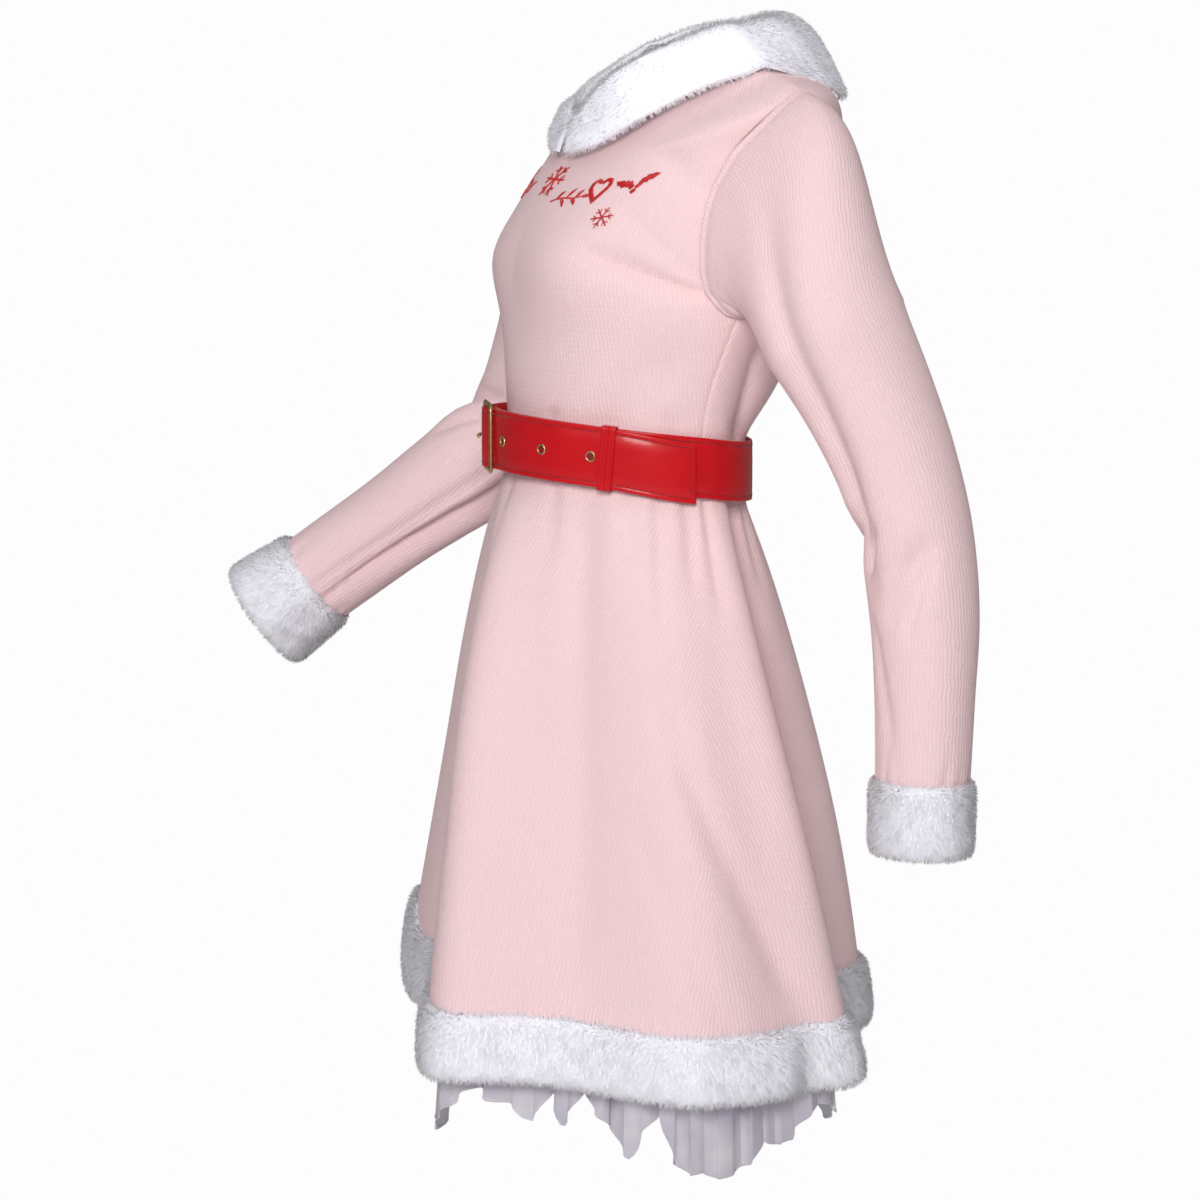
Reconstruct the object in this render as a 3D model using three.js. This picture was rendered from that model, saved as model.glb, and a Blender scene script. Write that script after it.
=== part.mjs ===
// Elf costume: a worn long-sleeved fleece dress with fur trim, a petticoat and its own belt.
// Millimetres, +Z up. The dress faces -Y and its wearer's left side is at +X.
// The origin is between the shoulders, where the wearer carries the dress.
import * as THREE from 'three';

// Driving dimensions
const FLEECE = 2.0;
const SATIN = 1.2;
const SEAM_GAP = 0.3;
const FUR_THICKNESS = 9;
const CUFF_FUR_INSET = 5;
const CUFF_HEIGHT = 60;
const HEM_FUR_THICKNESS = 11;
const HEM_FUR_INSET = 4;
const HEM_FUR_HEIGHT = 57;
const COLLAR_THICKNESS = 5.2;
const LEFT_CUFF_FLARE = 1;
const RIGHT_CUFF_FLARE = 7;
const BELT_WIDTH = 49;
const BELT_THICKNESS = 2.6;
const BUCKLE_HEIGHT = 58;
const BUCKLE_WIDTH = 50;
const BUCKLE_WIRE = 4.2;
const KEEPER_WIDTH = 12;
const EYELET_OUTER = 4.6;
const EYELET_INNER = 2.2;
const RUFFLE_WAVES = 40;
const POINTS_PER_WAVE = 6;
const RUFFLE_DEPTH = 9;
const RUFFLE_DEPTH_AT_SEAM = 1.5;
const PETTICOAT_INSET = 20;
const RUFFLE_INSET = 24;

// How many faces each piece has round it
const BODICE_FRONT_COLUMNS = 22;
const BODICE_BACK_COLUMNS = 18;
const SKIRT_COLUMNS = 42;
const PETTICOAT_COLUMNS = 42;
const COLLAR_COLUMNS = 38;
const COLLAR_ROWS = 7;
const CUFF_SIDES = 20;
const SLEEVE_SIDES = 22;
const CAP_ROWS = 6;
const ROWS_PER_SECTION = 2;

const DEGREE = Math.PI / 180;

// Bodice rings from the waist seam up to the neck seam.
// Each ring crosses the centre front, the side and the centre back at the places named.
const BODICE_RINGS = [
  { name: 'waist', frontY: -158, frontZ: -277, sideX: 120, sideY: -44, sideZ: -291, backY: 27, backZ: -303 },
  { name: 'belt edge', frontY: -159, frontZ: -249, sideX: 122.5, sideY: -42, sideZ: -262, backY: 30, backZ: -275 },
  { name: 'ribs', frontY: -160, frontZ: -216, sideX: 132, sideY: -38, sideZ: -224, backY: 56, backZ: -236 },
  { name: 'underarm', frontY: -160, frontZ: -166, sideX: 148, sideY: -22, sideZ: -168, backY: 84, backZ: -178 },
  { name: 'bust', frontY: -156, frontZ: -124, sideX: 151, sideY: -8, sideZ: -128, backY: 101, backZ: -128 },
  { name: 'chest', frontY: -141, frontZ: -84, sideX: 152, sideY: 2, sideZ: -78, backY: 112, backZ: -80 },
  { name: 'upper chest', frontY: -123, frontZ: -60, sideX: 158, sideY: 12, sideZ: -28, backY: 110, backZ: -38 },
  { name: 'shoulder', frontY: -109, frontZ: -47, sideX: 166, sideY: 20, sideZ: 10, backY: 96, backZ: 0 },
  { name: 'yoke', frontY: -104, frontZ: -41, sideX: 118, sideY: 4, sideZ: 27, backY: 74, backZ: 25 },
  { name: 'neck', frontY: -100, frontZ: -36, sideX: 74, sideY: -14, sideZ: 36, backY: 54, backZ: 43 },
];
const UNDERARM_ROW = 3;
const SHOULDER_ROW = 7;
const ARMHOLE_FRONT_DEG = 20;
const ARMHOLE_BACK_DEG = 33;

// Bust shaping: a soft rise on each side of the centre front.
const BUST = { rise: 13, angle: 30, spread: 21, z: -132, height: 40 };

// Skirt rings from the waist seam down to the top of the fur hem, and on below for the petticoat.
const SKIRT_RINGS = [
  { name: 'waist', frontY: -158, frontZ: -277.4, sideX: 120, sideY: -44, sideZ: -291.4, backY: 27, backZ: -303.4 },
  { name: 'belt edge', frontY: -160, frontZ: -304, sideX: 123, sideY: -45, sideZ: -318, backY: 29, backZ: -330 },
  { name: 'high hip', frontY: -175, frontZ: -376, sideX: 148, sideY: -56, sideZ: -388, backY: 45, backZ: -398 },
  { name: 'hip', frontY: -190, frontZ: -476, sideX: 174, sideY: -64, sideZ: -484, backY: 66, backZ: -494 },
  { name: 'thigh', frontY: -206, frontZ: -604, sideX: 204, sideY: -68, sideZ: -608, backY: 92, backZ: -618 },
  { name: 'hem', frontY: -227, frontZ: -733, sideX: 229, sideY: -70, sideZ: -733, backY: 112, backZ: -739 },
  { name: 'below', frontY: -240, frontZ: -790, sideX: 238, sideY: -72, sideZ: -790, backY: 120, backZ: -796 },
  { name: 'ruffle', frontY: -246, frontZ: -856, sideX: 244, sideY: -74, sideZ: -856, backY: 126, backZ: -860 },
];
const HEM_ROW = 5;

// Folds of the skirt: where each crest or trough lies round the waist and the hem, how far
// it stands out at the hem, how wide it is, how far down it starts and how it lifts the hem.
const SKIRT_FOLDS = [
  { name: 'front trough', top: -4, hem: -4, rise: -8, spread: 11, start: 0.38, lift: 10 },
  { name: 'front edge fold', top: 6, hem: 21, rise: 52, spread: 12, start: 0.22, lift: -4 },
  { name: 'near panel trough', top: 52, hem: 58, rise: -13, spread: 15, start: 0.28, lift: 0 },
  { name: 'near panel swell', top: 80, hem: 92, rise: 8, spread: 18, start: 0.38, lift: 0 },
  { name: 'side fold', top: 98, hem: 126, rise: 27, spread: 11, start: 0.21, lift: 0 },
  { name: 'deep trough', top: 118, hem: 148, rise: -26, spread: 10, start: 0.23, lift: 4 },
  { name: 'back fold', top: 150, hem: 170, rise: 20, spread: 12, start: 0.23, lift: 0 },
  { name: 'back trough', top: -174, hem: -167, rise: -18, spread: 11, start: 0.28, lift: 3 },
  { name: 'far back fold', top: -148, hem: -143, rise: 22, spread: 13, start: 0.23, lift: 0 },
  { name: 'far back trough', top: -120, hem: -117, rise: -17, spread: 12, start: 0.33, lift: 2 },
  { name: 'far side fold', top: -92, hem: -90, rise: 24, spread: 14, start: 0.23, lift: 0 },
  { name: 'far front trough', top: -60, hem: -62, rise: -12, spread: 12, start: 0.38, lift: 4 },
  { name: 'far front fold', top: -34, hem: -38, rise: 4, spread: 13, start: 0.28, lift: 20 },
];
// Rows of the panels: closest together under the belt.
const SKIRT_ROWS = [0, 0.5, 1, 1.5, 2.1, 2.8, 3.5, 4.25, 5];
// The hem hangs a little higher on the wearer's right.
const HEM_LIFT_RIGHT = 44;

// Sleeve sections, from the upper arm down to the cuff seam: centre, then the half sizes
// outward from the body and towards the front.
const LEFT_SLEEVE = [
  { name: 'upper arm', x: 213, y: 36, z: -176, outHalf: 60, frontHalf: 61 },
  { name: 'biceps', x: 224, y: 58, z: -226, outHalf: 54, frontHalf: 54 },
  { name: 'above elbow', x: 236, y: 77, z: -280, outHalf: 49, frontHalf: 49 },
  { name: 'elbow', x: 246, y: 90, z: -338, outHalf: 47, frontHalf: 46 },
  { name: 'below elbow', x: 252, y: 96, z: -400, outHalf: 46, frontHalf: 43 },
  { name: 'forearm', x: 256, y: 95, z: -466, outHalf: 44, frontHalf: 39 },
  { name: 'cuff seam', x: 258, y: 93, z: -531, outHalf: 42, frontHalf: 37 },
];
const RIGHT_SLEEVE = [
  { name: 'upper arm', x: -207, y: -34, z: -176, outHalf: 57, frontHalf: 60 },
  { name: 'biceps', x: -216, y: -47, z: -226, outHalf: 52, frontHalf: 55 },
  { name: 'elbow', x: -230, y: -66, z: -282, outHalf: 50, frontHalf: 52 },
  { name: 'below elbow', x: -248, y: -108, z: -326, outHalf: 48, frontHalf: 49 },
  { name: 'forearm', x: -265, y: -142, z: -354, outHalf: 46, frontHalf: 45 },
  { name: 'wrist', x: -283, y: -178, z: -383, outHalf: 43, frontHalf: 42 },
  { name: 'cuff seam', x: -312, y: -236, z: -430, outHalf: 39, frontHalf: 42 },
];

// Creases in the sleeves: from one place to another, down the sleeve (0 at the armhole,
// 1 at the cuff) and round it (0 outward, 90 front, 180 inward, 270 back).
const LEFT_CREASES = [
  { name: 'front fold', fromDown: 0.22, toDown: 0.66, fromAngle: 52, toAngle: 88, depth: 9, spread: 16 },
  { name: 'elbow dent', fromDown: 0.66, toDown: 0.76, fromAngle: 20, toAngle: 62, depth: 6, spread: 16 },
  { name: 'inner elbow', fromDown: 0.6, toDown: 0.7, fromAngle: 100, toAngle: 150, depth: 7, spread: 20 },
  { name: 'back of arm', fromDown: 0.3, toDown: 0.6, fromAngle: 290, toAngle: 260, depth: 5, spread: 18 },
];
const RIGHT_CREASES = [
  { name: 'inner elbow', fromDown: 0.52, toDown: 0.62, fromAngle: 120, toAngle: 60, depth: 8, spread: 18 },
  { name: 'under fold', fromDown: 0.5, toDown: 0.93, fromAngle: 214, toAngle: 196, depth: 9, spread: 15 },
  { name: 'outer fold', fromDown: 0.55, toDown: 0.85, fromAngle: 330, toAngle: 310, depth: 5, spread: 17 },
];

// Creases in the bodice, from one place to another round it and up it in rows.
const BODICE_CREASES = [
  { name: 'bust drape', fromAngle: 40, toAngle: 70, fromRow: 4.2, toRow: 3.4, depth: 6, spread: 10 },
  { name: 'waist drape', fromAngle: 50, toAngle: 68, fromRow: 0.6, toRow: 2.4, depth: 4, spread: 11 },
  { name: 'back drape', fromAngle: 108, toAngle: 126, fromRow: 2.8, toRow: 0.9, depth: 9, spread: 13 },
  { name: 'far bust drape', fromAngle: -42, toAngle: -68, fromRow: 4.1, toRow: 3.4, depth: 6, spread: 10 },
  { name: 'far waist drape', fromAngle: -56, toAngle: -66, fromRow: 0.6, toRow: 2.2, depth: 4, spread: 11 },
  { name: 'far back drape', fromAngle: -114, toAngle: -132, fromRow: 2.7, toRow: 0.9, depth: 7, spread: 13 },
];

// The collar: the seam at the neck, the fold on top, the middle of the fall and its edge.
const COLLAR_RINGS = [
  { name: 'seam', frontY: -102, frontZ: -34.4, sideX: 74, sideY: -14, sideZ: 39.4, backY: 54, backZ: 44.8 },
  { name: 'stand', frontY: -103, frontZ: -18, sideX: 75, sideY: -16, sideZ: 42, backY: 55, backZ: 57 },
  { name: 'fold', frontY: -107, frontZ: -7, sideX: 82, sideY: -16, sideZ: 46, backY: 62, backZ: 67 },
  { name: 'over', frontY: -114, frontZ: -12, sideX: 98, sideY: -8, sideZ: 47, backY: 82, backZ: 60 },
  { name: 'fall', frontY: -119, frontZ: -27, sideX: 116, sideY: 0, sideZ: 42, backY: 101, backZ: 41 },
  { name: 'edge', frontY: -123, frontZ: -43, sideX: 134, sideY: 8, sideZ: 38, backY: 118, backZ: 16 },
];
const COLLAR_NOTCH_DEG = 4;
// The collar sits a little higher on the left. Its fold dips to the ends at the centre front
// and stands up beside the neck on the left.
const COLLAR_TILT = 0.09;
const COLLAR_WAVES = [
  { name: 'front dip', angle: 0, rise: -13, spread: 15 },
  { name: 'left of the neck', angle: 48, rise: 19, spread: 36 },
  { name: 'left shoulder', angle: 100, rise: 5, spread: 28 },
];
// Its edge drops behind each shoulder, and its fall is short in front of them.
const COLLAR_DROP = { angle: 142, depth: 16, spread: 26 };
const COLLAR_SHORT = { angle: 58, share: 0.7, spread: 30 };
const COLLAR_FALL_ROW = 4;

// The belt's route, by the angle round the waist: under the buckle at -12, round the back,
// through the buckle at 334 to 360 and on to its end. Lift is the way out from the first layer.
const BUCKLE_ANGLE = -13;
const BUCKLE_OUT = 6.5;
const PRONG_RADIUS = 1.7;
const PRONG_FROM = -4;
const PRONG_PAST = 2;
const PRONG_OUT = 7.4;
const PRONG_TIP_OUT = 3.4;
const BELT_STAND_OFF = 5;
const BELT_FRONT_SLACK = 6;
const STRAP_ROUTE = [
  { name: 'bar end', angle: -12, lift: 0, steps: 0 },
  { name: 'left side', angle: 90, lift: 0, steps: 15 },
  { name: 'right side', angle: 270, lift: 0, steps: 20 },
  { name: 'before the buckle', angle: 322, lift: 0, steps: 7 },
  { name: 'far side of the frame', angle: 336, lift: 3, steps: 4 },
  { name: 'over the bar', angle: 347, lift: 9, steps: 4 },
  { name: 'near side of the frame', angle: 358, lift: 3, steps: 4 },
  { name: 'on the strap', angle: 372, lift: 3, steps: 2 },
  { name: 'square end', angle: 446, lift: 3, steps: 12 },
];
const STRAP_END = 446;
const STRAP_DROOP_START = 408;
const STRAP_END_DROOP = 5;
const KEEPER_ANGLE = 53;
const KEEPER_CLEARANCE = 0.5;
const KEEPER_THICKNESS = 1.4;
const EYELET_ANGLES = [4, 26, 46.5];

const COLOURS = {
  fleece: 0xf6d9dd,
  fur: 0xf1f1f6,
  satin: 0xe4e2ec,
  belt: 0xc4161c,
  brass: 0x9a7d45,
};

function material(colour, roughness, metalness) {
  return new THREE.MeshStandardMaterial({ color: colour, roughness, metalness, side: THREE.DoubleSide });
}

const FLEECE_LOOK = material(COLOURS.fleece, 0.95, 0);
const FUR_LOOK = material(COLOURS.fur, 1, 0);
const SATIN_LOOK = material(COLOURS.satin, 0.6, 0);
const BELT_LOOK = material(COLOURS.belt, 0.25, 0);
const BRASS_LOOK = material(COLOURS.brass, 0.35, 1);

// Small helpers

function mix(a, b, k) {
  return a + (b - a) * k;
}

function clamp01(k) {
  return Math.min(1, Math.max(0, k));
}

function smooth(k) {
  const c = clamp01(k);
  return c * c * (3 - 2 * c);
}

function bell(distance, spread) {
  return Math.exp(-((distance / spread) ** 2));
}

function angleBetween(a, b) {
  const d = (a - b + 540) % 360;
  return (d < 0 ? d + 360 : d) - 180;
}

function spaced(count, from, to) {
  return Array.from({ length: count + 1 }, (_, i) => mix(from, to, i / count));
}

// A smooth value through four neighbouring table entries.
function splineValue(p0, p1, p2, p3, k) {
  const a = 2 * p1;
  const b = p2 - p0;
  const c = 2 * p0 - 5 * p1 + 4 * p2 - p3;
  const d = -p0 + 3 * p1 - 3 * p2 + p3;
  return 0.5 * (a + b * k + c * k * k + d * k * k * k);
}

// A row between the rows of a table, worked out column by column.
function rowAt(table, position) {
  const last = table.length - 1;
  const i = Math.min(last - 1, Math.max(0, Math.floor(position)));
  const k = position - i;
  const before = table[Math.max(0, i - 1)];
  const after = table[Math.min(last, i + 2)];
  const row = {};
  for (const key of Object.keys(table[0])) {
    if (key !== 'name') {
      row[key] = splineValue(before[key], table[i][key], table[i + 1][key], after[key], k);
    }
  }
  return row;
}

// A point of a ring: 0 degrees is the centre front, 90 the wearer's left, 180 the back.
function ringPoint(ring, degrees) {
  const c = Math.cos(degrees * DEGREE);
  const endY = c > 0 ? ring.frontY : ring.backY;
  const endZ = c > 0 ? ring.frontZ : ring.backZ;
  return new THREE.Vector3(
    ring.sideX * Math.sin(degrees * DEGREE),
    mix(ring.sideY, endY, Math.abs(c)),
    mix(ring.sideZ, endZ, Math.abs(c)),
  );
}

// The level direction away from the middle of a ring.
function outward(ring, point) {
  const middleY = (ring.frontY + ring.backY) / 2;
  return new THREE.Vector3(point.x, point.y - middleY, 0).normalize();
}

// How deep a crease is at a place, as a soft trough between its two ends.
function creaseDepth(crease, along, across, fromAlong, toAlong, fromAcross, toAcross) {
  const k = (along - fromAlong) / (toAlong - fromAlong);
  const middle = mix(fromAcross, toAcross, clamp01(k));
  const ends = smooth(1 - Math.max(0, Math.abs(k - 0.5) - 0.3) / 0.5);
  return crease.depth * ends * bell(angleBetween(across, middle), crease.spread);
}

// Walls and bands

// Adds the two triangles of a four-sided patch.
function addPatch(index, a, b, c, d) {
  index.push(a, b, c, a, c, d);
}

function solidFrom(vertices, index) {
  const geometry = new THREE.BufferGeometry();
  const numbers = vertices.flatMap((v) => [v.x, v.y, v.z]);
  geometry.setAttribute('position', new THREE.Float32BufferAttribute(numbers, 3));
  geometry.setIndex(index);
  if (signedVolume(vertices, index) < 0) {
    geometry.setIndex(turnedOver(index));
  }
  geometry.computeVertexNormals();
  return geometry;
}

function signedVolume(vertices, index) {
  let sum = 0;
  for (let i = 0; i < index.length; i += 3) {
    const a = vertices[index[i]];
    const b = vertices[index[i + 1]];
    const c = vertices[index[i + 2]];
    sum += a.dot(b.clone().cross(c));
  }
  return sum;
}

function turnedOver(index) {
  const turned = [];
  for (let i = 0; i < index.length; i += 3) {
    turned.push(index[i], index[i + 2], index[i + 1]);
  }
  return turned;
}

// A grid of points on a surface and its normals, taken from the surface itself, so that
// two panels agree along the seam between them.
function surfaceGrid(rows, anglesAt, pointAt) {
  const points = [];
  const normals = [];
  for (const row of rows) {
    const angles = anglesAt(row);
    points.push(angles.map((a) => pointAt(a, row)));
    normals.push(angles.map((a) => surfaceNormal(a, row, pointAt)));
  }
  return { points, normals };
}

function surfaceNormal(degrees, row, pointAt) {
  const along = pointAt(degrees + 0.6, row).sub(pointAt(degrees - 0.6, row));
  const up = pointAt(degrees, row + 0.04).sub(pointAt(degrees, row - 0.04));
  return along.cross(up).normalize();
}

// The normals of a grid of points, by the differences between neighbours.
function gridNormals(grid, closed) {
  const rows = grid.length;
  const columns = grid[0].length;
  return grid.map((row, r) => row.map((point, c) => {
    const left = closed ? row[(c + columns - 1) % columns] : row[Math.max(0, c - 1)];
    const right = closed ? row[(c + 1) % columns] : row[Math.min(columns - 1, c + 1)];
    const below = grid[Math.max(0, r - 1)][c];
    const above = grid[Math.min(rows - 1, r + 1)][c];
    return right.clone().sub(left).cross(above.clone().sub(below)).normalize();
  }));
}

// A wall of cloth with the grid as its outer face. With closed true it is a tube.
// inwardSign is 1 or -1, whichever turns the grid's normals to the inside.
function clothWall(grid, thickness, closed, inwardSign, normals = gridNormals(grid, closed)) {
  const rows = grid.length;
  const columns = grid[0].length;
  const inner = grid.map((row, r) => row.map((point, c) => (
    point.clone().addScaledVector(normals[r][c], inwardSign * thickness))));
  const vertices = [...grid.flat(), ...inner.flat()];
  const at = (layer, r, c) => layer * rows * columns + r * columns + (c % columns);
  const index = [];
  const spans = closed ? columns : columns - 1;
  for (let c = 0; c < spans; c += 1) {
    for (let r = 0; r < rows - 1; r += 1) {
      addPatch(index, at(0, r, c), at(0, r, c + 1), at(0, r + 1, c + 1), at(0, r + 1, c));
      addPatch(index, at(1, r, c), at(1, r + 1, c), at(1, r + 1, c + 1), at(1, r, c + 1));
    }
    addPatch(index, at(0, 0, c), at(1, 0, c), at(1, 0, c + 1), at(0, 0, c + 1));
    addPatch(index, at(0, rows - 1, c), at(0, rows - 1, c + 1), at(1, rows - 1, c + 1), at(1, rows - 1, c));
  }
  if (!closed) {
    const end = columns - 1;
    for (let r = 0; r < rows - 1; r += 1) {
      addPatch(index, at(0, r, 0), at(0, r + 1, 0), at(1, r + 1, 0), at(1, r, 0));
      addPatch(index, at(0, r, end), at(1, r, end), at(1, r + 1, end), at(0, r + 1, end));
    }
  }
  return solidFrom(vertices, index);
}

// A band swept along stations. Each station is a closed outline of points.
function sweptBand(stations, closed) {
  const sides = stations[0].length;
  const count = stations.length;
  const vertices = stations.flat();
  const at = (s, k) => (s % count) * sides + (k % sides);
  const index = [];
  const spans = closed ? count : count - 1;
  for (let s = 0; s < spans; s += 1) {
    for (let k = 0; k < sides; k += 1) {
      addPatch(index, at(s, k), at(s + 1, k), at(s + 1, k + 1), at(s, k + 1));
    }
  }
  if (!closed) {
    for (let k = 1; k < sides - 1; k += 1) {
      index.push(at(0, 0), at(0, k), at(0, k + 1));
      index.push(at(count - 1, 0), at(count - 1, k + 1), at(count - 1, k));
    }
  }
  return solidFrom(vertices, index);
}

function piece(name, geometry, look) {
  const mesh = new THREE.Mesh(geometry, look);
  mesh.name = name;
  return mesh;
}

// Bodice

function bodicePoint(degrees, row) {
  const ring = rowAt(BODICE_RINGS, row);
  const point = ringPoint(ring, degrees);
  const out = outward(ring, point);
  const level = bell(point.z - BUST.z, BUST.height);
  const bust = bell(Math.abs(angleBetween(degrees, 0)) - BUST.angle, BUST.spread) * level * BUST.rise;
  let crease = 0;
  for (const c of BODICE_CREASES) {
    crease += creaseDepth(c, row, degrees, c.fromRow, c.toRow, c.fromAngle, c.toAngle);
  }
  return point.addScaledVector(out, bust - crease * smooth(row / 0.4));
}

// How far the armhole's edge is from the side line, in degrees, at a row.
function armholeReach(row, widest) {
  const k = clamp01((row - UNDERARM_ROW) / (SHOULDER_ROW - UNDERARM_ROW));
  return widest * 2 * Math.sqrt(k * (1 - k));
}

// Rows are closest together where the armhole's edge turns.
function bodiceRows() {
  const below = spaced(6, 0, UNDERARM_ROW).slice(0, -1);
  const turn = spaced(8, 0, Math.PI).map((a) => (
    mix(UNDERARM_ROW, SHOULDER_ROW, (1 - Math.cos(a)) / 2)));
  const above = spaced(3, SHOULDER_ROW, BODICE_RINGS.length - 1).slice(1);
  return [...below, ...turn, ...above];
}

function seamAngle(row) {
  return (SEAM_GAP / 2 / rowAt(BODICE_RINGS, row).sideX) / DEGREE;
}

function bodiceFront() {
  const { points, normals } = surfaceGrid(bodiceRows(), (row) => {
    const edge = 90 - seamAngle(row) - armholeReach(row, ARMHOLE_FRONT_DEG);
    return spaced(BODICE_FRONT_COLUMNS, -edge, edge);
  }, bodicePoint);
  return piece('bodice_front', clothWall(points, FLEECE, false, -1, normals), FLEECE_LOOK);
}

function bodiceBack() {
  const { points, normals } = surfaceGrid(bodiceRows(), (row) => {
    const edge = 90 + seamAngle(row) + armholeReach(row, ARMHOLE_BACK_DEG);
    return spaced(BODICE_BACK_COLUMNS, edge, 360 - edge);
  }, bodicePoint);
  return piece('bodice_back', clothWall(points, FLEECE, false, -1, normals), FLEECE_LOOK);
}

// Skirt

function skirtPoint(degrees, row) {
  const ring = rowAt(SKIRT_RINGS, row);
  const point = ringPoint(ring, degrees);
  const down = row / HEM_ROW;
  let rise = 0;
  let lift = HEM_LIFT_RIGHT * (0.5 - point.x / 480);
  for (const fold of SKIRT_FOLDS) {
    const grown = Math.sin((Math.PI / 2) * clamp01((down - fold.start) / (1 - fold.start)));
    const near = bell(angleBetween(degrees, mix(fold.top, fold.hem, clamp01(down))), fold.spread);
    rise += fold.rise * grown * near;
    lift += fold.lift * near;
  }
  point.addScaledVector(outward(ring, point), rise);
  point.z += lift * smooth(down);
  return point;
}

// The angles of a panel's columns, a little short of the side seams.
function panelAngles(fromAngle, toAngle) {
  const seam = seamAngle(0);
  return spaced(SKIRT_COLUMNS, fromAngle + seam, toAngle - seam);
}

function skirtPanel(name, fromAngle, toAngle) {
  const angles = panelAngles(fromAngle, toAngle);
  const { points, normals } = surfaceGrid(SKIRT_ROWS, () => angles, skirtPoint);
  return piece(name, clothWall(points, FLEECE, false, 1, normals), FLEECE_LOOK);
}

// Fur hem: a rounded band that carries on from the skirt's lower edge.
const HEM_PROFILE = [
  { down: 0, out: 0.4 }, { down: 0.06, out: 0.75 }, { down: 0.3, out: 1 }, { down: 0.75, out: 1 },
  { down: 0.95, out: 0.75 }, { down: 1, out: 0.35 }, { down: 0.96, out: 0 }, { down: 0.5, out: -0.06 },
  { down: 0, out: 0 },
];

function skirtFrame(degrees, row) {
  const here = skirtPoint(degrees, row);
  const along = skirtPoint(degrees + 1, row).sub(skirtPoint(degrees - 1, row)).normalize();
  const down = skirtPoint(degrees, row).sub(skirtPoint(degrees, row - 0.5)).normalize();
  const out = down.clone().cross(along).normalize();
  if (out.dot(outward(rowAt(SKIRT_RINGS, row), here)) < 0) {
    out.negate();
  }
  return { here, down, out };
}

function furHem(name, fromAngle, toAngle) {
  const stations = panelAngles(fromAngle, toAngle).map((a) => {
    const { here, down, out } = skirtFrame(a, HEM_ROW);
    return HEM_PROFILE.map((p) => here.clone()
      .addScaledVector(down, SEAM_GAP + p.down * HEM_FUR_HEIGHT)
      .addScaledVector(out, p.out * HEM_FUR_THICKNESS - HEM_FUR_INSET));
  });
  return piece(name, sweptBand(stations, false), FUR_LOOK);
}

// Petticoat

const PETTICOAT_SPLIT_ROW = 3.9;
const PETTICOAT_END_ROW = 6.7;

function petticoatPoint(degrees, row, inset) {
  const ring = rowAt(SKIRT_RINGS, row);
  const point = skirtPoint(degrees, row);
  return point.addScaledVector(outward(ring, point), -inset);
}

function petticoatTop() {
  const rows = spaced(4, 0.12, PETTICOAT_SPLIT_ROW);
  const angles = spaced(PETTICOAT_COLUMNS, -180, 180).slice(0, -1);
  const grid = rows.map((row) => angles.map((a) => (
    petticoatPoint(a, row, FLEECE + 0.4 + PETTICOAT_INSET * smooth(row / 1.6)))));
  return piece('petticoat_top', clothWall(grid, SATIN, true, 1), SATIN_LOOK);
}

// The ruffle's waves are uneven in depth, and each hangs to a length of its own.
function waveRise(column) {
  const phase = column / POINTS_PER_WAVE;
  const wave = Math.floor(phase);
  const size = 0.75 + 0.25 * Math.sin(wave * 2.4) + 0.12 * Math.sin(wave * 5.1);
  return Math.sin(phase * 2 * Math.PI) * size;
}

// The petticoat's hem hangs in uneven points: how far down each place hangs, in rows of the
// skirt's table.
const PETTICOAT_POINTS = [
  { angle: -177, rows: 0.02 }, { angle: -168, rows: -0.45 }, { angle: -160, rows: 0.08 },
  { angle: -151, rows: -0.38 }, { angle: -142, rows: 0 }, { angle: -134, rows: -0.42 },
  { angle: -125, rows: 0.05 }, { angle: -117, rows: -0.36 }, { angle: -108, rows: 0.08 },
  { angle: -98, rows: -0.4 }, { angle: -90, rows: 0.02 }, { angle: -81, rows: -0.42 },
  { angle: -72, rows: 0.06 }, { angle: -63, rows: -0.35 }, { angle: -54, rows: 0 },
  { angle: -46, rows: -0.4 }, { angle: -37, rows: 0.04 }, { angle: -29, rows: -0.4 },
  { angle: -20, rows: -0.05 }, { angle: -11, rows: -0.35 }, { angle: -2, rows: 0 },
  { angle: 9, rows: 0.27 }, { angle: 18, rows: -0.16 }, { angle: 27, rows: -0.62 },
  { angle: 36, rows: -0.3 }, { angle: 39, rows: -0.3 }, { angle: 42, rows: -0.56 },
  { angle: 46, rows: -0.28 }, { angle: 52, rows: -0.65 }, { angle: 60, rows: -0.32 },
  { angle: 67, rows: -0.06 }, { angle: 75, rows: -0.62 }, { angle: 79, rows: -0.04 },
  { angle: 84, rows: 0.04 }, { angle: 90, rows: 0.12 }, { angle: 97, rows: 0.12 },
  { angle: 102, rows: -0.07 }, { angle: 107, rows: -0.18 }, { angle: 114, rows: -0.16 },
  { angle: 119, rows: -0.47 }, { angle: 127, rows: -0.45 }, { angle: 136, rows: -0.1 },
  { angle: 144, rows: -0.42 }, { angle: 152, rows: 0 }, { angle: 160, rows: -0.38 },
  { angle: 169, rows: 0.05 }, { angle: 176, rows: -0.38 },
];

// How much longer the ruffle hangs at a place, straight between the two nearest points.
function ruffleLength(degrees) {
  const count = PETTICOAT_POINTS.length;
  const next = Math.max(0, PETTICOAT_POINTS.findIndex((p) => p.angle > degrees));
  const a = PETTICOAT_POINTS[(next + count - 1) % count];
  const b = PETTICOAT_POINTS[next];
  const span = (b.angle - a.angle + 360) % 360;
  const along = (degrees - a.angle + 360) % 360;
  return mix(a.rows, b.rows, along / span);
}

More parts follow.
